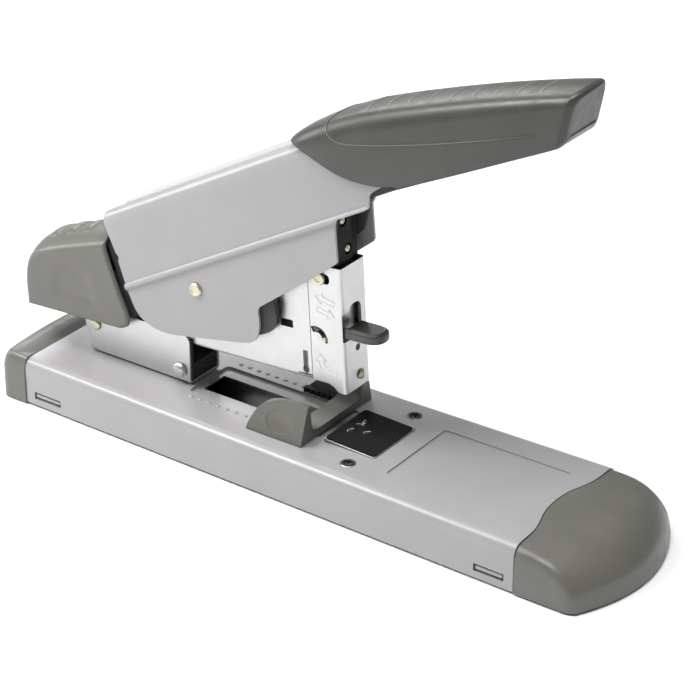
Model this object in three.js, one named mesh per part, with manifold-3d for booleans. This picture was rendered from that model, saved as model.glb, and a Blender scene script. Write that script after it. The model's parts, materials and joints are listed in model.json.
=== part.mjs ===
// Heavy-duty long-arm stapler, at rest with its head and handle sprung up.
// Millimetres. +X runs forward to the nose cap, +Z up, and the origin is the middle of the base's underside.
import * as THREE from 'three';
import { mergeVertices } from 'three/addons/utils/BufferGeometryUtils.js';
import Module from 'manifold-3d';

const wasm = await Module();
wasm.setup();

// ---------------------------------------------------------------- driving dimensions
const GAP = 0.3; // clearance between pieces that touch
const FAR_OUT = 400; // reach of a cutting body past any piece

// base
const FLOOR_GAP = 0.8; // underside of the end caps above the table
const COVER = { rear: -143, front: 120.6, bottom: 1.2, top: 22.6, sheet: 1.5, edge: 6 };
const COVER_HALF_REAR = 35;
const COVER_HALF_FRONT = 39.6;
const NOSE_TIP = 160;
const REAR_TIP = -160;
const SEAM_BOW = 5.2; // how far the front seam bows back at the middle
const CAP_WALL = 2.2;
const TRACK = { rear: -65, front: 8.4, half: 14, sunk: 0.8 };
const SLOT = { rear: -62, front: 4, half: 7.4 };
const ANVIL = { rear: 9.4, front: 36, half: 15.5, thick: 2.6, rearTop: 24.4, frontTop: 23 };
const BASE_SCREW = { x: 29, y: 24.7, radius: 3.1 };
const FOOT = { radius: 7, height: 1.3, x: 118, y: 26 };

// hinge bracket and head pivot
const BRACKET = { rear: -124.5, front: -66.8, half: 10.4, sheet: 1.4, foot: 23, top: 47 };
const HEAD_PIVOT = { x: -120.6, z: 37 };
const HEAD_TILT = THREE.MathUtils.degToRad(3.1);
const BOLT = { x: -72.3, z: 29.2 };

// head, in its own frame: u forward along the magazine from the head pivot, v up
const MAGAZINE = { rear: -8, seam: 120.2, bottom: 2.5, top: 56.8, half: 8.8, sheet: 1 };
const NOSE = { rear: 120.5, front: 137.6, bottom: -0.5, heel: 2.8, top: 57.3 };
const NOSE_PIN = { u: 126.5, v: 51.3, head: 3.1, shank: 2 };
const STAPLE = { half: 6.4, bottom: 4.2, top: 20.8, wire: 0.6, rear: 59, front: 119.4 };
const RAIL = { half: 5.6, sheet: 1.1, bottom: 4.3, top: 19.9, rear: -31.5, front: 118.8 };
const ROD = { v: 24, radius: 1.5, rear: -30.5, front: 112 };
const LEVER = { u: 123.4, v: 22.6, camRadius: 4.4, camAngle: 6.5 };
const DRIVER = { rear: 127.2, front: 135.4, bottom: 50, top: 88.6, half: 6.1, shoulder: 130.2, wide: 7.4 };
const DRIVE_PIN = { u: 132.5, v: 85, radius: 2, half: 12.5 };

// handle, in its own frame: u forward along the handle from the handle pivot, v square to it
const HANDLE_PIVOT = { x: -59, z: 73.8 };
const HANDLE_TILT = THREE.MathUtils.degToRad(29);
const HANDLE = { half: 14, sheet: 1.2, top: 44.5, edge: 6 };
const FRAME_OUTER = 12.2;
const FRAME_SHEET = 1.6;

// ---------------------------------------------------------------- materials
const finish = (color, roughness, metalness) => new THREE.MeshStandardMaterial({ color, roughness, metalness });
const PAINT = () => finish(0xb9b8bc, 0.35, 0.1);
const DARK_PLASTIC = () => finish(0x6b6a62, 0.5, 0);
const BLACK = () => finish(0x17171a, 0.45, 0.2);
const NICKEL = () => finish(0xd8d8d6, 0.22, 1);
const STEEL = () => finish(0x9a9a98, 0.4, 1);
const BRASS = () => finish(0xe0d7b8, 0.3, 0.8);
const RUBBER = () => finish(0x1c1c1c, 0.9, 0);

// ---------------------------------------------------------------- shape helpers
/**
 * A shape from [x, y, setback] corners. A corner with a setback is rounded over that distance on both sides,
 * or over just under half of a side that is too short for it.
 */
function outline(corners) {
  const shape = new THREE.Shape();
  const count = corners.length;
  const towards = (from, to, distance) => {
    const t = Math.min(distance / Math.hypot(to[0] - from[0], to[1] - from[1]), 0.47);
    return [from[0] + (to[0] - from[0]) * t, from[1] + (to[1] - from[1]) * t];
  };
  corners.forEach((corner, i) => {
    const before = corners[(i + count - 1) % count];
    const after = corners[(i + 1) % count];
    const setback = corner[2] ?? 0;
    const start = towards(corner, before, setback);
    if (i === 0) shape.moveTo(...start);
    else shape.lineTo(...start);
    if (setback) shape.quadraticCurveTo(corner[0], corner[1], ...towards(corner, after, setback));
  });
  shape.closePath();
  return shape;
}

const rectangle = (x0, y0, x1, y1, setback = 0) =>
  outline([[x0, y0, setback], [x1, y0, setback], [x1, y1, setback], [x0, y1, setback]]);

function circle(x, y, radius) {
  const shape = new THREE.Shape();
  shape.absarc(x, y, radius, 0, 2 * Math.PI);
  return shape;
}

const extrude = (shape, depth, curveSegments) =>
  new THREE.ExtrudeGeometry(shape, { depth, bevelEnabled: false, curveSegments });

/** A side view (x, z) given width from y0 to y1. */
function side(shape, y0, y1, curveSegments = 5) {
  return extrude(shape, y1 - y0, curveSegments).rotateX(Math.PI / 2).translate(0, y1, 0);
}

/** A plan (x, y) given height from z0 to z1. */
function plan(shape, z0, z1, curveSegments = 5) {
  return extrude(shape, z1 - z0, curveSegments).translate(0, 0, z0);
}

/** A cross-section (y, z) given length from x0 to x1. */
function section(shape, x0, x1, curveSegments = 5) {
  const geometry = extrude(shape, x1 - x0, curveSegments);
  const turn = new THREE.Matrix4().set(0, 0, 1, 0, 1, 0, 0, 0, 0, 1, 0, 0, 0, 0, 0, 1);
  return geometry.applyMatrix4(turn).translate(x0, 0, 0);
}

const box = (x0, x1, y0, y1, z0, z1) =>
  new THREE.BoxGeometry(x1 - x0, y1 - y0, z1 - z0).translate((x0 + x1) / 2, (y0 + y1) / 2, (z0 + z1) / 2);

/** A solid turned about the Y direction through (x, z), from [radius, y] points that start and end on the axis. */
function turned(x, z, points, segments = 20) {
  const profile = points.map(([radius, y]) => new THREE.Vector2(radius, y));
  return new THREE.LatheGeometry(profile, segments).translate(x, 0, z);
}

/** The same about the Z direction through (x, y), from [radius, z] points. */
function upright(x, y, points, segments = 20) {
  const profile = points.map(([radius, z]) => new THREE.Vector2(radius, z));
  return new THREE.LatheGeometry(profile, segments).rotateX(Math.PI / 2).translate(x, y, 0);
}

const pin = (x, z, radius, y0, y1, segments = 20) =>
  turned(x, z, [[0, y0], [radius, y0], [radius, y1], [0, y1]], segments);

/** A bar of round section along x. */
const bar = (y, z, radius, x0, x1, segments = 14) =>
  new THREE.CylinderGeometry(radius, radius, x1 - x0, segments).rotateZ(Math.PI / 2).translate((x0 + x1) / 2, y, z);

function solid(geometry) {
  const bare = geometry.clone();
  for (const name of ['normal', 'uv']) bare.deleteAttribute(name);
  const merged = mergeVertices(bare, 1e-4);
  const mesh = new wasm.Mesh({
    numProp: 3,
    vertProperties: new Float32Array(merged.attributes.position.array),
    triVerts: new Uint32Array(merged.index.array),
  });
  return new wasm.Manifold(mesh);
}

function geometryOf(manifold) {
  const mesh = manifold.getMesh();
  const geometry = new THREE.BufferGeometry();
  geometry.setAttribute('position', new THREE.BufferAttribute(new Float32Array(mesh.vertProperties), 3));
  geometry.setIndex(new THREE.BufferAttribute(new Uint32Array(mesh.triVerts), 1));
  return geometry;
}

const cut = (body, ...tools) => geometryOf(tools.reduce((left, tool) => left.subtract(solid(tool)), solid(body)));
const join = (body, ...others) => geometryOf(others.reduce((left, other) => left.add(solid(other)), solid(body)));
const common = (body, other) => geometryOf(solid(body).intersect(solid(other)));

/** A closed skin through rings of points of one count, each ring turning left as seen from the last ring. */
function loft(rings) {
  const around = rings[0].length;
  const position = rings.flat(2);
  const index = [];
  const at = (ring, i) => ring * around + (i % around);
  for (let ring = 0; ring + 1 < rings.length; ring += 1) {
    for (let i = 0; i < around; i += 1) {
      index.push(at(ring, i), at(ring + 1, i + 1), at(ring + 1, i));
      index.push(at(ring, i), at(ring, i + 1), at(ring + 1, i + 1));
    }
  }
  const last = rings.length - 1;
  for (let i = 1; i + 1 < around; i += 1) {
    index.push(at(0, 0), at(0, i + 1), at(0, i));
    index.push(at(last, 0), at(last, i), at(last, i + 1));
  }
  const geometry = new THREE.BufferGeometry();
  geometry.setAttribute('position', new THREE.Float32BufferAttribute(position, 3));
  geometry.setIndex(index);
  return geometry;
}

const model = new THREE.Group();
const head = new THREE.Group();
head.position.set(HEAD_PIVOT.x, 0, HEAD_PIVOT.z);
head.rotation.y = -HEAD_TILT;
const handle = new THREE.Group();
handle.position.set(HANDLE_PIVOT.x, 0, HANDLE_PIVOT.z);
handle.rotation.y = -HANDLE_TILT;
model.add(head, handle);

function add(group, name, geometry, material) {
  const mesh = new THREE.Mesh(geometry, material);
  mesh.name = name;
  group.add(mesh);
}

// ---------------------------------------------------------------- base
const coverHalf = (x) =>
  COVER_HALF_REAR + ((COVER_HALF_FRONT - COVER_HALF_REAR) * (x - COVER.rear)) / (COVER.front - COVER.rear);

/** Narrows a body towards the rear, as the whole base does. */
function taper(geometry) {
  const position = geometry.attributes.position;
  for (let i = 0; i < position.count; i += 1) {
    position.setY(i, (position.getY(i) * coverHalf(position.getX(i))) / COVER_HALF_FRONT);
  }
  return geometry;
}

/** Plan of everything in front of the bowed front seam. */
function aheadOfSeam(offset = 0) {
  const x = COVER.front + offset;
  const wide = 60;
  const flat = 30;
  const shape = new THREE.Shape();
  shape.moveTo(x, -wide);
  shape.lineTo(x, -flat);
  shape.bezierCurveTo(x, -flat / 2, x - SEAM_BOW, -flat / 2, x - SEAM_BOW, 0);
  shape.bezierCurveTo(x - SEAM_BOW, flat / 2, x, flat / 2, x, flat);
  shape.lineTo(x, wide);
  shape.lineTo(FAR_OUT, wide);
  shape.lineTo(FAR_OUT, -wide);
  shape.closePath();
  return shape;
}

/** An inverted channel section with rounded upper edges. */
function channelSection(half, bottom, top, sheet, edge) {
  return outline([
    [-half, bottom], [-half, top, edge], [half, top, edge], [half, bottom],
    [half - sheet, bottom], [half - sheet, top - sheet, edge - sheet],
    [sheet - half, top - sheet, edge - sheet], [sheet - half, bottom],
  ]);
}

function baseCover() {
  const shell = section(
    channelSection(COVER_HALF_FRONT, COVER.bottom, COVER.top, COVER.sheet, COVER.edge), COVER.rear, COVER.front);
  const windows = [[-137, -122.8], [101.4, 115.4]];
  const holes = windows.map(([x0, x1]) => box(x0, x1, -50, 50, 5, 7.5));
  const screws = [-1, 1].map((way) =>
    upright(BASE_SCREW.x, way * BASE_SCREW.y, [[0, 10], [3.5, 10], [3.5, 30], [0, 30]]));
  return cut(
    taper(shell),
    plan(aheadOfSeam(-GAP), -10, 40),
    plan(rectangle(TRACK.rear, -TRACK.half, TRACK.front, TRACK.half, 2), COVER.top - TRACK.sunk, 30),
    plan(rectangle(SLOT.rear, -SLOT.half, SLOT.front, SLOT.half, 1), 10, 30),
    plan(rectangle(ANVIL.rear - GAP, -ANVIL.half - GAP, ANVIL.front + GAP, ANVIL.half + GAP, 2), 10, 30),
    ...holes, ...screws,
  );
}

/**
 * A cap open underneath. planAt gives its plan with its sides and its end drawn in by two distances, and profile
 * lists [sides drawn in, end drawn in, z] up the outside.
 */
function capBody(planAt, profile) {
  const skin = (wall) => loft(profile.map(([sides, end, z]) =>
    planAt(sides + wall, end + wall).getPoints(6).slice(0, -1).map((point) => [point.x, point.y, z - wall])));
  return cut(skin(0), skin(CAP_WALL), box(-FAR_OUT, FAR_OUT, -60, 60, -20, FLOOR_GAP));
}

function noseCap() {
  const planAt = (sides, end) => {
    const half = 40.1 - sides;
    const tip = NOSE_TIP - end;
    const corner = tip - 10;
    const shape = new THREE.Shape();
    shape.moveTo(100, -half);
    shape.lineTo(corner - 7, -half);
    shape.quadraticCurveTo(corner - 1.5, -half, corner, 4 - half);
    shape.quadraticCurveTo(tip + 10, 0, corner, half - 4);
    shape.quadraticCurveTo(corner - 1.5, half, corner - 7, half);
    shape.lineTo(100, half);
    shape.closePath();
    return shape;
  };
  const profile = [
    [0, 0, -6], [0, 0, 2.5], [0, 2.4, 10], [0.1, 7, 16.3], [1, 12, 19.6], [2.6, 17, 21.3], [6, 22.5, COVER.top]];
  return common(capBody(planAt, profile), plan(aheadOfSeam(GAP), -10, 40));
}

function rearCap() {
  const planAt = (sides, end) => {
    const half = 35.6 - sides;
    const tip = REAR_TIP + end;
    const corner = tip + 1.8;
    const shape = new THREE.Shape();
    shape.moveTo(-120, half);
    shape.lineTo(corner + 5, half);
    shape.quadraticCurveTo(corner + 0.3, half, corner, half - 4.5);
    shape.quadraticCurveTo(tip - 1.8, 0, corner, 4.5 - half);
    shape.quadraticCurveTo(corner + 0.3, -half, corner + 5, -half);
    shape.lineTo(-120, -half);
    shape.closePath();
    return shape;
  };
  const profile = [[0, 0, -6], [0, 0, 13], [0.5, 0.9, 17], [1.8, 2.6, 20.2], [3.6, 5, 22], [6, 8, COVER.top]];
  return cut(capBody(planAt, profile), box(COVER.rear - GAP, FAR_OUT, -60, 60, -20, 60));
}

function baseScrew(way) {
  const { x, y, radius } = BASE_SCREW;
  const top = COVER.top - 0.5;
  const screw = upright(x, way * y, [[0, 8], [1.5, 8], [1.5, 20], [radius, 21.2], [radius, top], [0, top]]);
  const recess = [0, Math.PI / 2].map((turn) =>
    box(-1.9, 1.9, -0.5, 0.5, top - 1, 30).rotateZ(turn + 0.5).translate(x, way * y, 0));
  return cut(screw, ...recess);
}

function anvilPlate() {
  const { rear, front, half, thick, rearTop, frontTop } = ANVIL;
  const body = plan(rectangle(rear, -half, front, half, 2.4), 15, 30);
  const wedge = side(
    outline([[rear - 5, rearTop - thick], [front + 5, frontTop - thick], [front + 5, frontTop], [rear - 5, rearTop]]),
    -30, 30);
  const grooves = [-1, 1].map((way) =>
    plan(rectangle(11.4, way * 4.4 - 2.6, 14.6, way * 4.4 + 2.6, 1.2), rearTop - 1, 30));
  return cut(common(body, wedge), ...grooves);
}

function bottomPlate() {
  return taper(plan(rectangle(COVER.rear + 2, -37.5, COVER.front - 8, 37.5, 2), 1.8, 3));
}

function addBase() {
  add(model, 'base_cover', baseCover(), PAINT());
  add(model, 'nose_cap', noseCap(), DARK_PLASTIC());
  add(model, 'rear_cap', rearCap(), DARK_PLASTIC());
  add(model, 'bottom_plate', bottomPlate(), BLACK());
  for (const [place, x] of [['rear', -FOOT.x], ['front', FOOT.x - 12]]) {
    for (const [name, way] of [['near', -1], ['far', 1]]) {
      const foot = upright(x, way * FOOT.y, [[0, 0], [FOOT.radius, 0], [FOOT.radius, FOOT.height], [0, FOOT.height]]);
      add(model, `foot_${place}_${name}`, foot, RUBBER());
    }
  }
  add(model, 'base_screw_near', baseScrew(-1), STEEL());
  add(model, 'base_screw_far', baseScrew(1), STEEL());
  add(model, 'anvil_plate', anvilPlate(), BLACK());
  const carrier = section(channelSection(17, 3.3, 19.8, 1.6, 2), 8, 60);
  add(model, 'anvil_carrier', carrier, STEEL());
  const rail = cut(box(-68, 6, -9.2, 9.2, 9, 20.6), box(-70, 8, -7.9, 7.9, 10.3, 21));
  add(model, 'guide_rail', rail, STEEL());
}

// ---------------------------------------------------------------- paper guide
const GUIDE = { rear: -24, front: 5, inner: 17.5, outer: 26.3, foot: 22.9, top: 40.6 };

function paperGuide() {
  const { rear, front, inner, outer, foot, top } = GUIDE;
  const block = outline([[front, foot], [front + 0.6, top, 1.5], [-8, top - 1.2, 5.5], [-19.5, 35.5, 6.5], [rear, foot]]);
  const lowBlock = outline([[front, foot], [front + 0.3, 33, 1.5], [-8, 32.4, 4], [-18, 29.4, 5], [rear, foot]]);
  const blocks = [side(block, -outer, -inner), side(lowBlock, inner, outer)];
  const valley = outline([
    [-inner - 1, foot], [inner + 1, foot], [inner + 1, foot + 9], [inner - 0.4, foot + 9],
    [inner - 0.8, foot + 3.4, 5], [0.8 - inner, foot + 3.4, 5], [0.4 - inner, foot + 9], [-inner - 1, foot + 9],
  ]);
  return join(section(valley, -5, front), ...blocks);
}

function addGuide() {
  add(model, 'paper_guide', paperGuide(), DARK_PLASTIC());
  add(model, 'guide_foot', box(-5, 3, -6.6, 6.6, 11, GUIDE.foot - GAP), STEEL());
  const latch = side(outline([[-5.3, 13], [-5.3, 16], [-12, 19.4, 2], [-18, 16.6], [-18, 15.8], [-12, 18.4, 2]]), -3, 3);
  add(model, 'guide_latch', latch, NICKEL());
}

// ---------------------------------------------------------------- hinge bracket
function hingeBracket() {
  const { rear, front, half, sheet, foot, top } = BRACKET;
  const block = side(outline([[rear, foot], [front, foot], [front, top, 4], [rear, top, 6]]), -half, half);
  return cut(
    block,
    box(rear - 5, front + 5, sheet - half, half - sheet, foot + sheet, top + 5),
    pin(HEAD_PIVOT.x, HEAD_PIVOT.z, 2.5, -20, 20),
    pin(BOLT.x, BOLT.z, 2.3, -20, 20),
  );
}

function addBracket() {
  const { half, sheet, foot } = BRACKET;
  const outside = half + GAP;
  add(model, 'hinge_bracket', hingeBracket(), NICKEL());
  const pivot = turned(HEAD_PIVOT.x, HEAD_PIVOT.z, [
    [0, -outside - 1.2], [2.2, -outside - 1], [3.1, -outside], [2.2, -outside],
    [2.2, outside], [3.1, outside], [2.2, outside + 1], [0, outside + 1.2]]);
  add(model, 'head_pivot_pin', pivot, BRASS());
  const bolt = turned(BOLT.x, BOLT.z, [
    [0, -outside - 2.4], [1.8, -outside - 2.1], [3, -outside - 1.1], [3.4, -outside], [2, -outside],
    [2, outside + 3], [0, outside + 3]]);
  add(model, 'bracket_bolt', bolt, NICKEL());
  const nut = cut(pin(BOLT.x, BOLT.z, 3.6, outside, outside + 2.4, 6), pin(BOLT.x, BOLT.z, 2.3, 0, 30));
  add(model, 'bracket_nut', nut, NICKEL());
  const block = cut(
    box(-80, BRACKET.front - 0.6, sheet - half + GAP, half - sheet - GAP, foot + sheet + GAP, 32),
    pin(BOLT.x, BOLT.z, 2.3, -20, 20));
  add(model, 'stop_block', block, BLACK());
  const spring = upright(-94, 0, [[3, foot + 1.8], [4.6, foot + 1.8], [4.6, 40], [3, 40], [3, foot + 1.8]], 16);
  add(model, 'head_spring', spring, STEEL());
}

// ---------------------------------------------------------------- head
function magazineBody() {
  const { rear, seam, bottom, top, half, sheet } = MAGAZINE;
  const profile = outline([
    [rear, -4.5, 4], [5, -4.5, 3], [9, bottom, 1.5], [seam, bottom], [seam, 49], [seam - 1.4, 50.5],
    [seam - 1.4, top], [84, top, 3], [50, 42, 6], [rear, 22, 4]]);
  const { u, v } = handlePivotInHead();
  return cut(
    side(profile, -half, half),
    side(outline([[rear - 5, -10], [9.5, -10], [9.5, bottom + sheet], [130, bottom + sheet], [130, 80], [rear - 5, 80]]),
      sheet - half, half - sheet),
    pin(0, 0, 2.5, -20, 20),
    pin(u, v, 2.8, -20, 20),
    box(104.6, 111.2, -20, 20, 24.5, 28.1),
    box(115.7, 118.3, -20, 20, 6.6, 15.5),
    pin(117, 6.6, 1.7, -20, 20, 12),
  );
}

function handlePivotInHead() {
  const dx = HANDLE_PIVOT.x - HEAD_PIVOT.x;
  const dz = HANDLE_PIVOT.z - HEAD_PIVOT.z;
  const cos = Math.cos(HEAD_TILT);
  const sin = Math.sin(HEAD_TILT);
  return { u: dx * cos + dz * sin, v: dz * cos - dx * sin };
}

/** Guides the driver: a block inside the magazine's front end, and above it a channel behind the drive pin. */
function frontGuide() {
  const lower = box(121.6, DRIVER.rear - GAP, -7.6, 7.6, 40, 57);
  const neck = box(122.5, DRIVER.rear - GAP, -7.6, 7.6, 56, 61);
  const upper = box(122.5, DRIVER.shoulder - GAP, -MAGAZINE.half, MAGAZINE.half, 60.2, 76.5);
  return cut(join(lower, neck, upper), box(DRIVER.rear - GAP, 150, -DRIVER.half - GAP, DRIVER.half + GAP, 30, 90));
}

/** An inverted channel along the magazine: the staple rail, a strip of staples, or the pusher's saddle. */
function saddle(half, sheet, bottom, top, rear, front) {
  return cut(box(rear, front, -half, half, bottom, top),
    box(rear - 5, front + 5, sheet - half, half - sheet, bottom - 5, top - sheet));
}

function nosePin(way) {
  const { u, v, head: headRadius, shank } = NOSE_PIN;
  const out = MAGAZINE.half + 0.2;
  const points = [[0, 7.9], [shank, 7.9], [shank, out], [headRadius, out], [headRadius - 0.9, out + 1.1], [0, out + 1.1]];
  const far = turned(u, v, points);
  return way > 0 ? far : turned(u, v, points.map(([radius, y]) => [radius, -y]).reverse());
}

function addHead() {
  add(head, 'magazine', magazineBody(), NICKEL());
  add(head, 'front_guide', frontGuide(), BLACK());
  add(head, 'staple_strip',
    saddle(STAPLE.half, 0.5, STAPLE.bottom, STAPLE.top, STAPLE.rear, STAPLE.front), STEEL());
  add(head, 'nose_pin_near', nosePin(-1), BRASS());
  add(head, 'nose_pin_far', nosePin(1), BRASS());
  const { u, v } = handlePivotInHead();
  const out = HANDLE.half + 0.2;
  const pivot = turned(u, v, [
    [0, -out - 1.1], [2.4, -out - 1], [3.2, -out - 0.4], [3.2, -out], [2.4, -out],
    [2.4, out], [3.2, out], [3.2, out + 0.4], [2.4, out + 1], [0, out + 1.1]]);
  add(head, 'handle_pivot_pin', pivot, BRASS());
  const spring = turned(u, v, [[3.2, -6.5], [5.4, -6.5], [5.4, 6.5], [3.2, 6.5], [3.2, -6.5]], 16);
  add(head, 'handle_spring', spring, STEEL());
}

// ---------------------------------------------------------------- staple drawer and pusher
const HOOD = { half: 15.5, wall: 1.8 };

const hoodOutline = (inset = 0) => outline([
  [-36.2 + inset, 4.8 - 8 * Math.sign(inset)], [-36.2 + inset, 15], [-33.4 + inset, 29.5 - inset / 2, 5],
  [-17.4, 37.3 - inset], [13.4 + 9 * Math.sign(inset), 46.9 + 2.8 * Math.sign(inset) - inset],
  [13.6 + 9 * Math.sign(inset), 41.5], [20.6 + 8 * Math.sign(inset), 19], [24.6 + 8 * Math.sign(inset), 9, 4],
  [19 + 8 * Math.sign(inset), 5.2 - 8 * Math.sign(inset)],
]);

function rearHood() {
  const { half, wall } = HOOD;
  return cut(side(hoodOutline(), -half, half), side(hoodOutline(wall), wall - half, half - wall));
}

function hoodFrame() {
  const strip = outline([[13, 43.4], [17.6, 47], [20.6, 36.5], [23.4, 24.8], [28.6, 12.8, 1], [24.4, 9, 1], [20.4, 20]]);
  const outer = 12.4;
  const inner = 11;
  const opening = outline([[-20, -20], [60, -20], [60, 41], [-20, 41]]);
  return cut(side(strip, -outer, outer), side(opening, -inner, inner));
}

function addDrawer() {
  add(head, 'rear_hood', rearHood(), DARK_PLASTIC());
  add(head, 'hood_frame', hoodFrame(), BLACK());
  add(head, 'staple_rail', saddle(RAIL.half, RAIL.sheet, RAIL.bottom, RAIL.top, RAIL.rear, RAIL.front), STEEL());
  add(head, 'spring_rod', bar(0, ROD.v, ROD.radius, ROD.rear, ROD.front), STEEL());
}

function addPusher() {
  const body = join(
    saddle(STAPLE.half, 0.5, STAPLE.bottom, STAPLE.top, 46, STAPLE.rear - GAP),
    box(48, 57, -3.4, 3.4, STAPLE.top - 0.5, 27.2));
  add(head, 'pusher', cut(body, bar(0, ROD.v, ROD.radius + 0.4, 40, 65)), BLACK());
  const turn = Math.PI / 2;
  const coil = upright(0, 0, [[2, 0], [3, 0], [3, 70], [2, 70], [2, 0]], 14).rotateY(turn).translate(-23, 0, ROD.v);
  add(head, 'pusher_spring', coil, STEEL());
}

// ---------------------------------------------------------------- nose cover and release lever
function noseCover() {
  const { rear, front, bottom, heel, top } = NOSE;
  const half = MAGAZINE.half;
  const wall = 0.9;
  const profile = outline([
    [rear, heel], [130, heel, 3], [133.8, bottom, 1.5], [front, bottom], [front, top], [rear, top]]);
  const archway = outline([[-4.3, 20], [4.3, 20], [4.3, 39.9, 4.2], [-4.3, 39.9, 4.2]]);
  const arc = new THREE.Shape();
  const slotHalf = 1.35;
  arc.absarc(LEVER.u, LEVER.v, LEVER.camRadius + slotHalf, -0.2, 2.1);
  arc.absarc(LEVER.u, LEVER.v, LEVER.camRadius - slotHalf, 2.1, -0.2, true);
  arc.closePath();
  return cut(
    side(profile, -half, half),
    box(rear - 5, front - 1, wall - half, half - wall, -10, 80),
    section(archway, front - 3, front + 3),
    box(front - 3, front + 3, -half - 1, 4.3, 23.6, 36.8),
    side(arc, -20, 0, 8),
    side(outline([
      [NOSE_PIN.u - 2.3, NOSE_PIN.v - 2.3, 2.2], [131.6, NOSE_PIN.v - 2.3, 2.2],
      [131.6, NOSE_PIN.v + 2.3, 2.2], [NOSE_PIN.u - 2.3, NOSE_PIN.v + 2.3, 2.2]]), -20, 20),
    section(circle(1.6, 17.8, 1.6), front - 3, front + 3),
    section(circle(2.2, 5, 1.5), front - 3, front + 3),
  );
}

function releaseLever() {
  const pad = new THREE.Shape();
  const left = -8.3;
  const right = 4.2;
  const root = 138.7;
  const tip = 154.8;
  const middle = (left + right) / 2;
  pad.moveTo(root, left);
  pad.lineTo(tip - 7, left);
  pad.bezierCurveTo(tip - 2, left, tip, middle - 3.5, tip, middle);
  pad.bezierCurveTo(tip, middle + 3.5, tip - 2, right, tip - 7, right);
  pad.lineTo(root, right);
  pad.closePath();
  const arm = outline([
    [LEVER.u, LEVER.v - 1.8], [LEVER.u + 6, LEVER.v - 1.8, 1], [134.5, 24.9], [root + 1, 25.9],
    [root + 1, 30.2], [134.5, 30.2, 2], [LEVER.u + 6, LEVER.v + 2.2, 1], [LEVER.u, LEVER.v + 1.8]]);
  return join(plan(pad, 25.8, 30.3), side(arm, -7.6, -6.6), pin(LEVER.u, LEVER.v, 2.6, -7.6, -6.6));
}

function addNose() {
  add(head, 'nose_cover', noseCover(), NICKEL());
  const screw = new THREE.LatheGeometry(
    [[0, -1.6], [1.2, -1.6], [1.2, 0.3], [2.3, 0.3], [1.7, 1.2], [0, 1.3]].map(([r, h]) => new THREE.Vector2(r, h)), 16);
  add(head, 'nose_screw', screw.rotateZ(-Math.PI / 2).translate(NOSE.front, 2.2, 5), BRASS());
  add(head, 'release_lever', releaseLever(), DARK_PLASTIC());
  const angle = THREE.MathUtils.degToRad(LEVER.camAngle);
  const camU = LEVER.u + LEVER.camRadius * Math.cos(angle);
  const camV = LEVER.v + LEVER.camRadius * Math.sin(angle);
  add(head, 'lever_cam_pin', pin(camU, camV, 1, -9.6, -7.9, 14), BRASS());
}

// ---------------------------------------------------------------- driver
function addDriver() {
  const { rear, front, bottom, top, half, shoulder, wide } = DRIVER;
  const screws = [['driver_screw_lower', 0.2, 63.2], ['driver_screw_upper', -2.4, 76.6]];
  const block = cut(
    join(box(rear, front, -half, half, bottom, top), box(shoulder, front, -wide, wide, bottom + 8, top)),
    box(front - 0.4, front + 2, 3.1, wide + 2, bottom - 2, top + 2),
    box(134 - GAP, front + 2, -20, 20, bottom - 2, bottom + 6),
    pin(DRIVE_PIN.u, DRIVE_PIN.v, DRIVE_PIN.radius + 0.2, -20, 20),
    ...screws.map(([, y, height]) => bar(y, height, 2.5, front - 1, front + 2, 16)),
  );
  add(head, 'driver_block', block, BLACK());
  add(head, 'driver_blade', box(134, 134.9, -half, half, 24.4, bottom + 5.6), STEEL());
  const { u, v, radius, half: reach } = DRIVE_PIN;
  add(head, 'drive_pin', pin(u, v, radius, -reach, reach, 16), STEEL());
  for (const [name, y, height] of screws) {
    const profile = [[0, -0.7], [2.1, -0.7], [2.1, -0.4], [1.6, 0], [0, 0.1]].map(([r, h]) => new THREE.Vector2(r, h));
    const screw = new THREE.LatheGeometry(profile, 14).rotateZ(-Math.PI / 2).translate(front, y, height);
    add(head, name, screw, BRASS());
  }
}

// ---------------------------------------------------------------- handle
function handleCover() {
  const { half, sheet, top, edge } = HANDLE;
  const profile = outline([
    [-35.4, top + 5], [-37.4, 22], [-39.7, 9], [-40.6, -4, 8], [-31, -14.2, 9], [12, -27.8, 5], [20, -29.6, 5],
    [26.4, -23.5, 4], [29.4, -15.4, 2.5], [64.5, -10.1], [81.6, -7, 1.5], [88.4, 8], [90.4, 10.4, 1],
    [108.9, 10.4, 1.5], [112.5, 16, 2], [124, 18, 2], [124, top + 5]]);
  const bead = [-1, 1].map((way) => {
    const ridge = outline([
      [way * (half - 0.6), 8.4], [way * half, 8.6, 0.2], [way * (half + 1), 9.6, 0.6], [way * (half + 1), 11, 0.6],
      [way * half, 12, 0.2], [way * (half - 0.6), 12.2]]);
    return section(ridge, -60, 130, 3);
  });
  const pressed = join(section(channelSection(half, -60, top, sheet, edge), -60, 130), ...bead);
  return cut(common(pressed, side(profile, -30, 30)), pin(0, 0, 2.8, -20, 20));
}

function handleFrame() {
  const plate = outline([
    [-12, 37], [-12, 6], [-10, -8, 5], [2, -23, 6], [20, -27, 3], [32, -27.4, 6], [38, -19, 2], [39.6, -12.6, 2],
    [62, -5], [80, -1, 2], [88, 8, 2], [89.8, 12.4, 1], [110, 12.4, 1], [113, 14.4, 1], [128, 14.4], [128, 30],
    [108, 37]]);
  const inside = FRAME_OUTER - FRAME_SHEET;
  const slot = outline([
    [87.2, 13.8, 2.4], [87.2, 18.9, 2.4], [77.6, 20.6, 4], [69.6, 20.8, 2.4], [69.6, 15.4, 2.4], [77.6, 15.2, 4]]);
  return cut(
    side(plate, -FRAME_OUTER, FRAME_OUTER),
    side(outline([[-30, -60], [140, -60], [140, 20], [108, 35.4], [-30, 35.4]]), -inside, inside),
    side(slot, -20, 20),
    pin(0, 0, 2.8, -20, 20),
  );
}

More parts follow.
